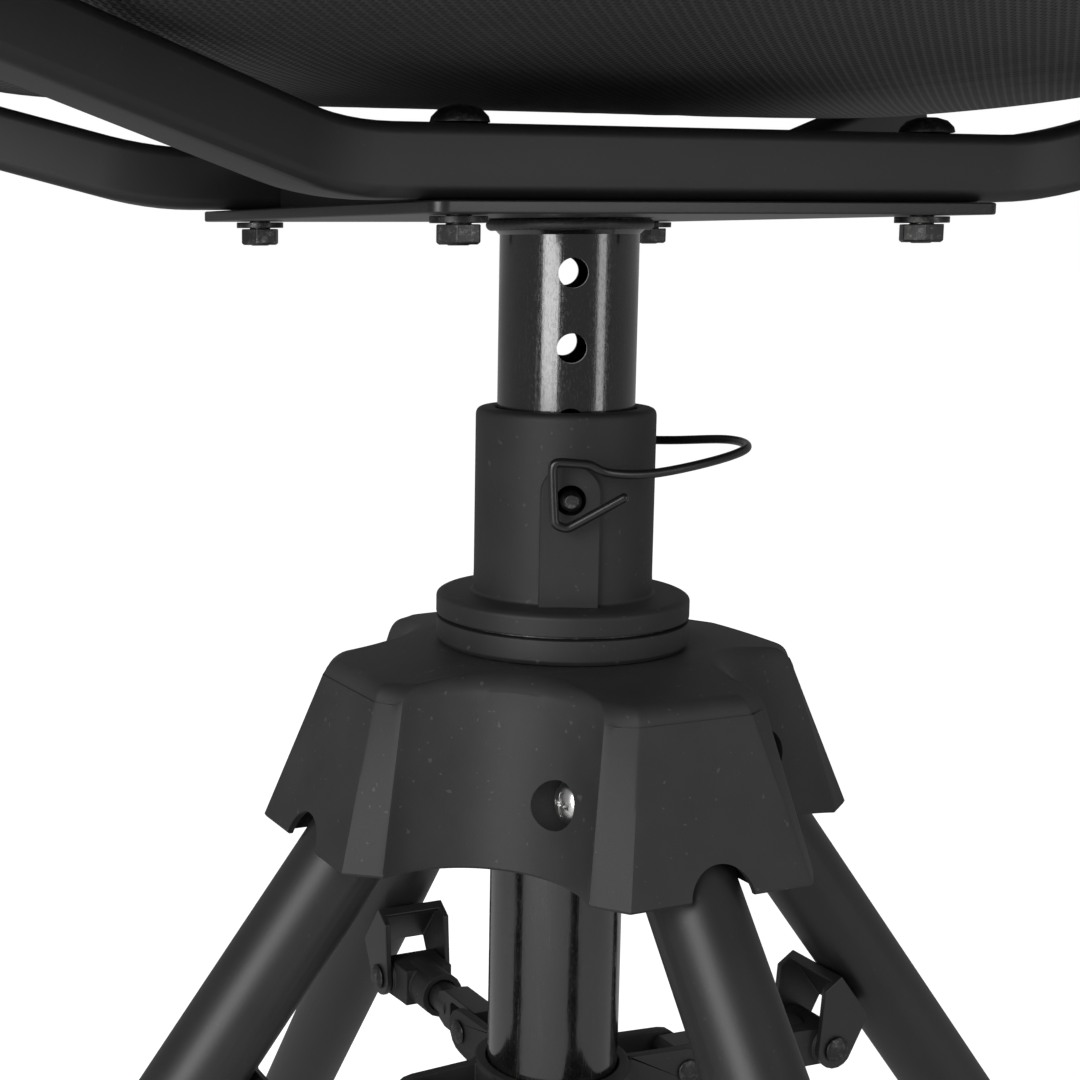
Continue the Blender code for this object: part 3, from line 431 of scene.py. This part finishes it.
def tube_points(path, radius, seg=20):
    """Rings of points round a path, turned along with it; the radius may change along it."""
    path = np.asarray(path, float)
    radius = np.broadcast_to(radius, (len(path),))
    tangent = np.gradient(path, axis=0)
    tangent /= np.linalg.norm(tangent, axis=1, keepdims=True)
    side = np.cross(tangent[0], (0, 0, 1.0) if abs(tangent[0][2]) < 0.9 else (1.0, 0, 0))
    g = np.arange(seg) * 2 * math.pi / seg
    rings = []
    for p, t, r in zip(path, tangent, radius):
        side = side - t * (side @ t)
        side /= np.linalg.norm(side)
        top = np.cross(t, side)
        rings.append(p + r * (np.cos(g)[:, None] * side + np.sin(g)[:, None] * top))
    return np.array(rings)


def smooth_path(points, steps=10):
    """A Catmull-Rom curve through the points."""
    p = np.asarray(points, float)
    p = np.vstack([2 * p[0] - p[1], p, 2 * p[-1] - p[-2]])
    t = np.linspace(0, 1, steps, endpoint=False)[:, None]
    runs = []
    for a, b, c, d in zip(p[:-3], p[1:-2], p[2:-1], p[3:]):
        runs.append(
            0.5 * (2 * b + (c - a) * t + (2 * a - 5 * b + 4 * c - d) * t**2 + (3 * b - a - 3 * c + d) * t**3)
        )
    return np.vstack(runs + [p[-2:-1]])


def slab(name, outline, low, high, finish=None, place=None, edge=0.4):
    """An outline in (x, z) carried along y, its rims drawn in by an edge to catch the light."""
    line = np.asarray(outline, float)
    run = np.roll(line, -1, 0) - np.roll(line, 1, 0)
    inward = np.stack([-run[:, 1], run[:, 0]], 1) / np.linalg.norm(run, axis=1, keepdims=True)
    if np.sum(line[:, 0] * np.roll(line[:, 1], -1) - line[:, 1] * np.roll(line[:, 0], -1)) < 0:
        inward = -inward
    rows = [
        (low, edge), (low + edge, 0.0), (high - edge, 0.0), (high, edge)
    ] if edge else [(low, 0), (high, 0)]
    rings = [np.insert(line + inward * by, 1, y, axis=1) for y, by in rows]
    piece = skin(name, np.array(rings), finish, lids=True)
    if place is not None:
        set_in(piece, place)
    return piece


def bar(a, b, radius, seg=48):
    """A plain round cutter from a to b."""
    a, b = np.asarray(a, float), np.asarray(b, float)
    return skin("cutter", tube_points([a, a + (b - a) * 0.5, b], radius, seg), None, lids=True)


def joined(piece, others, how="DIFFERENCE"):
    """Cut or join closed shapes into the piece and keep the result."""
    for other in others:
        step = piece.modifiers.new("join", "BOOLEAN")
        step.operation, step.solver, step.object = how, "MANIFOLD", other
    bake(piece)
    for other in others:
        bpy.data.objects.remove(other, do_unlink=True)
    return piece


def bake(piece):
    """Turn the piece's modifiers into its mesh."""
    bpy.context.view_layer.update()
    finished = bpy.data.meshes.new_from_object(piece.evaluated_get(bpy.context.evaluated_depsgraph_get()))
    finishes = [m for m in piece.data.materials if m][:1]
    piece.modifiers.clear()
    piece.data = finished
    finished.materials.clear()
    for finish in finishes:
        finished.materials.append(finish)
    finished.polygons.foreach_set("material_index", np.zeros(len(finished.polygons), int))


def fit(piece, node, body=None):
    """Stand the piece in for a CAD node, on its body."""
    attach(piece, body or NODES[node]["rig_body"])
    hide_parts(node)
    return piece


def eased_copy(name, node, finish, edge=0.35, steps=2, flat=0.6):
    """A copy of a CAD node: points merged, flat triangles joined, sharp edges broken by a small round."""
    piece = bpy.data.objects.new(name, NODES[node].data.copy())
    bpy.context.scene.collection.objects.link(piece)
    bm = bmesh.new()
    bm.from_mesh(piece.data)
    bmesh.ops.remove_doubles(bm, verts=bm.verts, dist=2e-6)
    bmesh.ops.dissolve_limit(bm, angle_limit=math.radians(flat), verts=bm.verts, edges=bm.edges)
    bm.to_mesh(piece.data)
    bm.free()
    piece.data.materials.clear()
    piece.data.materials.append(finish)
    piece.data.polygons.foreach_set("use_smooth", np.ones(len(piece.data.polygons), bool))
    if edge:
        rounding = piece.modifiers.new("broken_edge", "BEVEL")
        rounding.width, rounding.segments, rounding.limit_method = edge * 0.001, steps, "ANGLE"
        rounding.angle_limit, rounding.use_clamp_overlap = math.radians(42), False
    weighted = piece.modifiers.new("flat_faces", "WEIGHTED_NORMAL")
    weighted.keep_sharp = True
    bake(piece)
    return fit(piece, node)


# ---- hub ----
def hub_outline(z, drawn=0.0):
    """The hub's plan at a height: flat-ended arms, chamfer strips and hollow faces, corners a little soft."""
    k = (HUB_TOP - 6 - z) / (HUB_TOP - HUB_BOTTOM - 7)
    face = PIVOT_R + LEG_R + 4.1 + 14.2 * k
    half = LEG_R + 4.0 + 10.5 * k
    sx, sy = LEG_R + 11.5 + 9.6 * k, face - 4.5 - 4.0 * k
    mid = PIVOT_R - 0.9 + 8.6 * k
    d, l = (sx + sy) / math.sqrt(2), (sy - sx) / math.sqrt(2)
    sag = d - mid
    r = (l * l + sag * sag) / (2 * sag)
    hold = np.r_[1, 0.985, np.linspace(0.95, -0.95, 37), -0.985, -1]
    g = hold * math.asin(min(0.999, l / r))
    dd, ll = mid + r - r * np.cos(g), r * np.sin(g)
    hollow = np.stack([(dd + ll), (dd - ll)], 1) / math.sqrt(2)
    across = np.r_[-half, 0.3 - half, np.linspace(1.2 - half, half - 1.2, 23), half - 0.3, half]
    front = np.stack([np.full(27, face), across], 1)

    def strip(a, b):
        """Six points between two corners, the outer ones close beside them."""
        a, b = np.array(a), np.array(b)
        near = 0.3 / np.linalg.norm(b - a)
        t = np.r_[near, np.linspace(0.2, 0.8, 4), 1 - near][:, None]
        return a * (1 - t) + b * t

    quarter = np.vstack([strip((sy, -sx), (face, -half)), front, strip((face, half), (sy, sx)), hollow])
    around = []
    for q in range(4):
        cs, sn = math.cos(q * math.pi / 2), math.sin(q * math.pi / 2)
        around.append(quarter @ np.array([[cs, sn], [-sn, cs]]))
    plan = np.vstack(around)
    plan = 0.5 * plan + 0.25 * (np.roll(plan, 1, 0) + np.roll(plan, -1, 0))
    length = np.linalg.norm(plan, axis=1, keepdims=True)
    return plan * (1 - np.asarray(drawn).reshape(-1, 1) / length)


def hollow_mask():
    """1 on the hollow faces' points of the plan and 0 on the arms, fading over the chamfer strips."""
    quarter = np.r_[np.linspace(0.9, 0.1, 6), np.zeros(27), np.linspace(0.1, 0.9, 6), np.ones(41)]
    mask = np.tile(quarter, 4)
    for _ in range(6):
        mask = 0.5 * mask + 0.25 * (np.roll(mask, 1) + np.roll(mask, -1))
    return mask


def hub_moulding():
    """Plan lofted up its flared sides, over a rolled shoulder to the roof, and down the bore; then cut."""
    crown, bore = DISC_R + 5, POST_R + SLIDE
    mask = hollow_mask()
    roll, lean = 5.0 + 3.6 * mask, np.radians(30.0 * mask)

    def roof(plan):
        return HUB_TOP - 0.13 * np.maximum(0, np.linalg.norm(plan, axis=1) - crown)

    rows = [np.c_[hub_outline(HUB_BOTTOM, 0.7), np.full(len(mask), HUB_BOTTOM)]]
    shoulder_z = HUB_TOP - 6.6
    for z in np.linspace(HUB_BOTTOM + 0.7, shoulder_z - 1.0, 18):
        rows.append(np.c_[hub_outline(z), np.full(len(mask), z)])
    total = roll * np.cos(lean)
    top_edge = roof(hub_outline(shoulder_z, total))
    for t in np.linspace(0, 1, 9):
        g = lean + (math.pi / 2 - lean) * t
        inset = roll * (np.cos(lean) - np.cos(g))
        rows.append(np.c_[hub_outline(shoulder_z, inset), top_edge - roll * (1 - np.sin(g))])
    edge = rows[-1][:, :2]
    ang = np.arctan2(edge[:, 1], edge[:, 0])
    unit = np.c_[np.cos(ang), np.sin(ang)]
    for t in (0.25, 0.5, 0.75, 1.0):
        plan = edge * (1 - t) + unit * crown * t
        rows.append(np.c_[plan, roof(plan)])
    rows += [np.c_[unit * bore, np.full(len(mask), z)] for z in (HUB_TOP, HUB_BOTTOM)]
    hub = skin("hub_moulding", np.array(rows), HUB_PLASTIC, closed=True, sharp=28.0)
    wall, top = PIVOT_R + LEG_R + 0.7, PIVOT_Z + LEG_R + 3.2
    low_wall = wall + 14.2 * (HUB_TOP - HUB_BOTTOM) / (HUB_TOP - HUB_BOTTOM - 7)
    inner = PIVOT_R - LEG_R - 4.5
    slot = [
        (inner, HUB_BOTTOM - 8), (low_wall + 2, HUB_BOTTOM - 8), (low_wall - 0.4, HUB_BOTTOM),
        (wall + 2.4, top - 0.5), (wall, top), (inner, top)
    ]
    head = SCREW_SEAT
    cuts = []
    for _, degrees in SIDES:
        spin = Matrix.Rotation(math.radians(degrees), 4, "Z")
        local = [slab("cutter", slot, -LEG_R - 0.5, LEG_R + 0.5, edge=0)]
        local.append(
            bar((PIVOT_R + LEG_R, 0, HUB_BOTTOM - 1), (PIVOT_R + LEG_R + 40, 0, HUB_BOTTOM - 1), 9.6)
        )
        local.append(bar((PIVOT_R, -head - 40, PIVOT_Z), (PIVOT_R, -head, PIVOT_Z), WELL_R))
        local.append(bar((PIVOT_R, -head - 1, PIVOT_Z), (PIVOT_R, LEG_R + 12.5, PIVOT_Z), 2.9))
        for cutter in local:
            set_in(cutter, spin)
        core = bar((PIVOT_R - 11.5, 0, HUB_BOTTOM - 4), (PIVOT_R - 11.5, 0, HUB_BOTTOM + 34), 6.5)
        set_in(core, Matrix.Rotation(math.radians(degrees + 45), 4, "Z"))
        cuts += local + [core]
    joined(hub, cuts)
    shade(hub, 28.0)
    return fit(hub, "hub_shell")


# ---- swivel stack and post ----
def true_round(piece, *radii, sharp=30.0):
    """Give the round walls of the stated radii the exact normals of a cylinder."""
    mesh = piece.data
    shade(piece, sharp)
    co = np.empty(len(mesh.vertices) * 3, np.float32)
    mesh.vertices.foreach_get("co", co)
    where = np.empty(len(mesh.loops), np.int32)
    mesh.loops.foreach_get("vertex_index", where)
    spot = co.reshape(-1, 3)[where]
    normal = np.array([c.vector[:] for c in mesh.corner_normals], np.float32)
    out = spot * (1, 1, 0)
    reach = np.linalg.norm(out, axis=1, keepdims=True)
    out /= np.maximum(reach, 1e-9)
    facing = np.einsum("ij,ij->i", out, normal)
    round_here = (np.abs(reach * 1000 - np.array(radii)) < 0.02).any(1)
    wall = (round_here & (np.abs(facing) > 0.985))[:, None]
    mesh.normals_split_custom_set(np.where(wall, out * np.sign(facing)[:, None], normal).tolist())
    return piece


def on_pin(p, q, z):
    """A point p along the lock pin's line and q to its side."""
    v = PIN_DIR * p + PIN_SIDE * q
    return (v.x, v.y, z)


def swivel_collar():
    """Sleeve and flange turned as one, with an arch-topped flat on each side round the pin hole."""
    b = POST_R + SLIDE
    profile = [
        (b, COLLAR_Z), (DISC_R, COLLAR_Z), (DISC_R, COLLAR_Z + 5.2), (DISC_R - 1.6, COLLAR_Z + 6.1),
        (SLEEVE_R + 0.2, COLLAR_Z + 6.3), (SLEEVE_R, COLLAR_Z + 12), (SLEEVE_R, SLEEVE_TOP), (b, SLEEVE_TOP),
    ]
    line = eased(profile, (0.2, 0.35, 1.3, 1.0, 1.1, 1.1, 2.6, 0.8), 5)
    line = line[np.r_[True, np.linalg.norm(np.diff(line, axis=0), axis=1) > 1e-6]]
    g = np.arange(160) * 2 * math.pi / 160
    r, z = line[:, :1], line[:, 1:]
    collar = skin(
        "swivel_collar_moulding", np.stack([r * np.cos(g), r * np.sin(g), z + 0 * g], -1), COLLAR_PLASTIC,
        closed=True
    )
    spin = Matrix.Rotation(PIN_AIM - math.pi / 2, 4, "Z")
    a = np.radians(np.arange(0, 181, 6))
    arch = np.c_[
        8.0 * np.cos(a), PIN_Z + 1.5 + 8.0 * np.sin(a)
    ].tolist() + [(-8.0, COLLAR_Z + 5), (8.0, COLLAR_Z + 5)]
    pad = SLEEVE_R + 0.8
    joined(
        collar, [slab("join", arch, *ends, place=spin, edge=0.3) for ends in ((15.0, pad), (-pad, -15.0))],
        "UNION"
    )
    cutters = [
        bar(on_pin(-40, 0, PIN_Z), on_pin(40, 0, PIN_Z), 4.1),
        bar((0, 0, COLLAR_Z - 5), (0, 0, SLEEVE_TOP + 5), b, 160)
    ]
    joined(collar, cutters)
    true_round(collar, SLEEVE_R, DISC_R, b)
    return fit(collar, "swivel_collar")


def bearing_disc():
    """Lower disc of the swivel with softened rims."""
    z0, z1, r = BASE_LOW[2], BASE_HIGH[2], DISC_R
    profile = [(POST_R + 0.8, z0), (r - 0.9, z0), (r, z0 + 1.2), (r, z1), (POST_R + 0.8, z1)]
    return fit(turned("bearing_disc", profile, DISC_PLASTIC, seg=160, ease=0.3), "bearing_base")


def gloss_post():
    """Tube in 5 mm courses with its flared top, cross holes cut through."""
    outer = [(POST_R, z) for z in np.linspace(POST_BOTTOM, POST_TOP - 4.0, 72)]
    flare = [(POST_R + 1.0, POST_TOP - 3.0), (POST_R + 2.4, POST_TOP - 1.5), (POST_R + 3.0, POST_TOP)]
    inner = [(POST_R - 2.0, z) for z in np.linspace(POST_TOP, POST_BOTTOM, 40)]
    line = np.array(outer + flare + inner)
    g = np.arange(144) * 2 * math.pi / 144
    r, z = line[:, :1], line[:, 1:]
    post = skin(
        "seat_post_tube", np.stack([r * np.cos(g), r * np.sin(g), z + 0 * g], -1), POST_PAINT, closed=True
    )
    holes = [
        bar(on_pin(-30, 0, PIN_Z + k * 20.0), on_pin(30, 0, PIN_Z + k * 20.0), 4.0, 40)
        for k in range(-4, 4)
    ]
    joined(post, holes)
    true_round(post, POST_R, POST_R - 2.0)
    return fit(post, "seat_post")


def bail():
    """Round wire bent from the pin's head round the sleeve to a hook before the pin's tip."""
    head = SLEEVE_R + 1.6
    hinge, front = -head - 3.5, head + 4.2 + 1.25
    sweep = [
        (hinge, 0, 11.2), (-24, 29, 11.0), (-10, 46, 12.8), (3, 49.5, 12.0), (14, 40, 9.8),
        (24.5, 22.5, 7.4), (front - 1.2, 10, 8.0), (front, 4, 10.4),
    ]
    hook = [(front, -5.6, 11.2), (front, -4.6, -5.6), (front, -1.2, -6.8), (front + 0.6, 14.4, 2.4)]
    corners = [(hinge, 0, -8.5)] + smooth_path(sweep, 5).tolist() + hook
    path = eased([on_pin(p, q, PIN_Z + z) for p, q, z in corners], 2.6, 8, closed=False)
    for _ in range(2):
        path[1:-1] = 0.5 * path[1:-1] + 0.25 * (path[:-2] + path[2:])
    gap = np.r_[0, np.cumsum(np.linalg.norm(np.diff(path, axis=0), axis=1))]
    s = np.linspace(0, gap[-1], 420)
    path = np.stack([np.interp(s, gap, path[:, i]) for i in range(3)], 1)
    r = 1.25 * np.minimum(
        1, np.sqrt(np.maximum(0.02, 1 - (1 - np.minimum(s, gap[-1] - s) / 1.1).clip(0) ** 2))
    )
    return fit(skin("bail_wire_bent", tube_points(path, r, 20), WIRE_STEEL, lids=True, sharp=60), "bail_wire")


# ---- sling ----
def rounded_plan(half_x, half_y, corner, count=60):
    """A rounded rectangle's points and outward directions, evenly spread by arc length."""
    g = np.linspace(0, math.pi / 2, 25)
    arcs = []
    for q, (sx, sy) in enumerate(((1, 1), (-1, 1), (-1, -1), (1, -1))):
        a = g + q * math.pi / 2
        arcs.append(
            np.c_[sx * (half_x - corner) + corner * np.cos(a), sy * (half_y - corner) + corner * np.sin(a)]
        )
    loop = np.vstack(arcs + [arcs[0][:1]])
    run = np.r_[0, np.cumsum(np.linalg.norm(np.diff(loop, axis=0), axis=1))]
    s = np.arange(count) * run[-1] / count
    pts = np.stack([np.interp(s, run, loop[:, i]) for i in range(2)], 1)
    tangent = np.roll(pts, -1, 0) - np.roll(pts, 1, 0)
    tangent /= np.linalg.norm(tangent, axis=1, keepdims=True)
    return pts, np.c_[tangent[:, 1], -tangent[:, 0]], run[-1]


OVER = FRAME_R + 0.9                    # middle of the cloth, round the tube
LEAVE = math.radians(150.0)             # where it leaves the tube, from level outside
HEM_END = math.radians(-30.0)
START_Z = FRAME_Z + OVER * math.sin(LEAVE)
INNER_X, INNER_Y = REACH_X + OVER * math.cos(LEAVE), REACH_Y + OVER * math.cos(LEAVE)


def hang(plan, share):
    """Height of the cloth inside the tube: steeply down from its edge, then nearly flat."""
    x, y = np.abs(plan[:, 0]) / INNER_X, np.abs(plan[:, 1]) / INNER_Y
    drop = (1 - np.minimum(1, x) ** 12) * (1 - np.minimum(1, y) ** 2.6) * (1 - share**22)
    return START_Z - (START_Z - SLING_LOW) * drop + pull_folds(plan, share)


def pull_folds(plan, share):
    """Soft tension folds that run in from the corners and fade towards the middle."""
    ang = np.arctan2(plan[:, 1] / REACH_Y, plan[:, 0] / REACH_X)
    corner = np.abs(np.sin(2 * ang)) ** 6
    wave = np.sin(ang * 46 + 1.3) * 0.6 + np.sin(ang * 29 + 0.4) * 0.5
    long = np.sin(plan[:, 0] * 0.055 + plan[:, 1] * 0.012) * 0.25
    return (wave * corner * 0.55 + long) * share**2 * (1 - share**8)


def sling():
    """Mesh sheet from its middle out to the tube, and round it, as one surface with a fine thickness."""
    count = 360
    base, out, _ = rounded_plan(REACH_X, REACH_Y, CORNER, count)
    inner = base + out * OVER * math.cos(LEAVE)
    rows, cloth = [], []
    for share in np.r_[0.0, np.linspace(0.02, 0.86, 46), np.linspace(0.87, 1.0, 22)]:
        plan = inner * share
        rows.append(np.c_[plan, hang(plan, share)])
        cloth.append(plan)
    for g in np.linspace(LEAVE, HEM_END, 22)[1:]:
        ripple = 0.12 * np.sin(np.arange(count) * 2 * math.pi / count * 90) * math.cos(g)
        at = base + out * (OVER * math.cos(g) + ripple)[:, None]
        rows.append(np.c_[at, np.full(count, FRAME_Z + OVER * math.sin(g))])
        cloth.append(inner + out * OVER * (LEAVE - g))
    piece = bpy.data.objects.new("sling_mesh", bpy.data.meshes.new("sling_mesh"))
    bpy.context.scene.collection.objects.link(piece)
    points = np.array(rows)
    piece.data.from_pydata((points.reshape(-1, 3) * 0.001).tolist(), [], quads(*points.shape[:2]).tolist())
    layer = piece.data.uv_layers.new(name="cloth")
    where = np.empty(len(piece.data.loops), np.int32)
    piece.data.loops.foreach_get("vertex_index", where)
    layer.data.foreach_set("uv", (np.array(cloth).reshape(-1, 2)[where] * 0.001).ravel())
    tidy(piece)
    piece.data.materials.append(MESH)
    wall = piece.modifiers.new("yarn_thickness", "SOLIDIFY")
    wall.thickness, wall.offset = 0.0008, 0.0
    bake(piece)
    shade(piece, 50)
    fit(piece, "seat_sling")
    return piece


def hem_stitches():
    """Short thread humps in two rows just inside the tube, each a small bent tube."""
    _, _, around = rounded_plan(REACH_X, REACH_Y, CORNER, 60)
    parts, faces, total = [], [], 0
    for share in (0.965, 0.94):
        count = int(around / 4.2)
        base, out, _ = rounded_plan(REACH_X, REACH_Y, CORNER, count)
        line_of_hem = (base + out * OVER * math.cos(LEAVE)) * share
        for a, b in zip(line_of_hem, np.roll(line_of_hem, -1, 0)):
            t = np.linspace(0.14, 0.86, 5)[:, None]
            line = a * (1 - t) + b * t
            z = hang(line, share)
            hump = 0.42 + 0.35 * np.sin(np.linspace(0, math.pi, 5))
            ring = tube_points(np.c_[line, z + hump], 0.33, 6)
            parts.append(ring.reshape(-1, 3))
            faces += (quads(5, 6) + total).tolist()
            faces += [[total + k for k in range(6)][::-1], [total + 24 + k for k in range(6)]]
            total += 30
    mesh = bpy.data.meshes.new("hem_stitches")
    mesh.from_pydata((np.vstack(parts) * 0.001).tolist(), [], faces)
    piece = bpy.data.objects.new("hem_stitches", mesh)
    bpy.context.scene.collection.objects.link(piece)
    mesh.materials.append(THREAD)
    tidy(piece)
    shade(piece, 60)
    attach(piece, "seat")
    return piece


def frame_tube():
    """The seat's loop of tube, bent round its four corners, with a butt gap at the back."""
    base, _, _ = rounded_plan(REACH_X, REACH_Y, CORNER, 360)
    start = int(np.argmin(np.hypot(base[:, 0], base[:, 1] - REACH_Y)))
    base = np.roll(base, -start, 0)
    base[0, 0], base[-1, 0] = -0.3, 0.3
    path = np.c_[base, np.full(len(base), FRAME_Z)]
    outer = tube_points(path, FRAME_R, 32)
    inner = tube_points(path, FRAME_R - 1.5, 32)
    m, n = outer.shape[:2]
    piece = skin("seat_frame_tube", np.concatenate([outer, inner[::-1]]), SEAT_COAT, closed=True, sharp=50)
    return fit(piece, "seat_frame")


# ---- welds ----
def weld_bead(name, path, radius, body, ripple=2.2):
    """A bead whose stacked ripples swell and shrink along its path."""
    path = np.asarray(path, float)
    s = np.r_[0, np.cumsum(np.linalg.norm(np.diff(path, axis=0), axis=1))]
    swell = 1 + 0.10 * np.abs(np.sin(s * math.pi / ripple)) + 0.06 * np.interp(
        s, np.linspace(0, s[-1], 24), RNG.standard_normal(24)
    )
    ends = np.minimum(
        1, np.minimum(s, s[-1] - s) / radius + 0.35
    ) if np.linalg.norm(path[0] - path[-1]) > 1 else 1
    piece = skin(name, tube_points(path, radius * swell * ends, 14), WELD, lids=True, sharp=60)
    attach(piece, body)
    return piece


def circle(radius, z, count=200):
    """Points round the Z axis, ending where they start."""
    g = np.linspace(0, 2 * math.pi, count)
    return np.c_[radius * np.cos(g), radius * np.sin(g), np.full(count, z)]


# ---- build ----
hub_moulding()
swivel_collar()
bearing_disc()
gloss_post()
bail()
frame_tube()
SLING = sling()
STITCHES = hem_stitches()
2 * REACH_X * 0.001 + 0.07
2 * REACH_Y * 0.001 + 0.07
weld_bead("post_weld", circle(POST_R + 2.2, PLATE_Z - 1.6), 1.5, "seat")

eased_copy("pin_of_lock", "lock_pin", DARK_STEEL, 0.25)
eased_copy("washer_of_swivel", "swivel_washer", DARK_STEEL, 0.1)
eased_copy("cap_of_post", "post_cap", COLLAR_PLASTIC, 0.4)
eased_copy("plate_of_seat", "seat_plate", PLATE_COAT, 0.5, 3)
eased_copy("channel_of_seat", "cross_channel", SEAT_COAT, 0.4)
for end in ("front", "back"):
    eased_copy("rail_tube_" + end, "rail_" + end, SEAT_COAT, 0.25)
for tag in "abcd":
    eased_copy("dome_bolt_" + tag, "seat_bolt_" + tag, DARK_STEEL, 0.2)
    eased_copy("flat_washer_" + tag, "bolt_washer_" + tag, DARK_STEEL, 0.15)
    eased_copy("hex_nut_" + tag, "bolt_nut_" + tag, DARK_STEEL, 0.25)
eased_copy("ring_moulding", "slider_ring", RING_PLASTIC, 0.4)
for side, _ in SIDES:
    eased_copy("leg_tube_" + side, "leg_" + side, LEG_COAT, 0.3)
    eased_copy("boot_" + side, "foot_" + side, RUBBER, 0.5)
    eased_copy("leg_clevis_" + side, "leg_bracket_" + side, BRACKET_COAT, 0.35)
    eased_copy("clevis_rivet_" + side, "strut_rivet_" + side, DARK_STEEL, 0.2)
    eased_copy("strut_tube_" + side, "strut_" + side, LEG_COAT, 0.3)
    eased_copy("strut_socket_" + side, "strut_fitting_" + side, RING_PLASTIC, 0.4)
    eased_copy("ring_rivet_" + side, "ring_pin_" + side, DARK_STEEL, 0.2)
    eased_copy("cross_screw_" + side, "pivot_screw_" + side, ZINC, 0.12)


# ---- room: floor, light and camera ----
def stage_finish(name, tone, glow):
    """Pale matte floor that glows to the eye only, so it looks near white and lights the stool little."""
    net = Net(name, Roughness=0.9, Specular_IOR_Level=0.1)
    net.bsdf.inputs["Base Color"].default_value = (*grey(tone), 1)
    net.bsdf.inputs["Emission Color"].default_value = (1, 1, 1, 1)
    return net.feed(Emission_Strength=net.node("LightPath", {}) * glow)


def soft_light(name, spot, aim, size, power):
    """A rectangular soft light at a spot, turned towards its aim."""
    lamp = bpy.data.lights.new(name, "AREA")
    lamp.shape, lamp.size, lamp.size_y, lamp.energy = "RECTANGLE", size[0], size[1], power
    stand = bpy.data.objects.new(name, lamp)
    stand.location = spot
    stand.rotation_euler = (Vector(aim) - Vector(spot)).to_track_quat("-Z", "Y").to_euler()
    bpy.context.scene.collection.objects.link(stand)


def camera():
    """A long lens near seat height, looking a little down; its axis is left of the picture's middle."""
    heading, down, tip = math.radians(68.065), math.radians(9.257), math.radians(-0.264)
    ahead = Vector((math.cos(heading) * math.cos(down), math.sin(heading) * math.cos(down), -math.sin(down)))
    right = ahead.cross(Vector((0, 0, 1))).normalized()
    up = right.cross(ahead)
    across = right * math.cos(tip) + up * math.sin(tip)
    upward = up * math.cos(tip) - right * math.sin(tip)
    lens = bpy.data.cameras.new("camera")
    lens.lens, lens.sensor_width, lens.shift_x = 60.77, 36.0, 0.2471
    lens.clip_start = 0.02
    eye = bpy.data.objects.new("camera", lens)
    turn = Matrix((across, upward, -ahead)).transposed().to_4x4()
    eye.matrix_world = Matrix.Translation((-0.2652, -0.4399, 0.4638)) @ turn
    bpy.context.scene.collection.objects.link(eye)
    bpy.context.scene.camera = eye


SKY_LIGHT = 0.3         # what the bright sky gives the stool


def room():
    """A wide pale floor under a bright even sky, with soft lights from the left and the right."""
    half = 20000.0
    corners = np.array([[(-half, -half, 0), (half, -half, 0)], [(-half, half, 0), (half, half, 0)]], float)
    floor = skin("floor", corners - (0, 0, 0.5), stage_finish("floor_paper", 0.8, 0.8), around=False)
    world = bpy.data.worlds.new("sky")
    world.use_nodes = True
    world.node_tree.nodes["Background"].inputs[0].default_value = (1, 1, 1, 1)
    seen = world.node_tree.nodes.new("ShaderNodeLightPath")
    strength = world.node_tree.nodes.new("ShaderNodeMapRange")
    strength.inputs["To Min"].default_value, strength.inputs["To Max"].default_value = SKY_LIGHT, 1.0
    world.node_tree.links.new(seen.outputs["Is Camera Ray"], strength.inputs["Value"])
    world.node_tree.links.new(strength.outputs[0], world.node_tree.nodes["Background"].inputs[1])
    bpy.context.scene.world = world
    bpy.context.scene.view_settings.view_transform = "Standard"
    soft_light("left_softbox", (-1.5, -0.9, 0.9), (0, 0, 0.33), (0.9, 1.4), 30)
    soft_light("right_softbox", (0.9, -1.9, 0.7), (0, 0, 0.3), (0.5, 1.2), 7)


camera()
room()
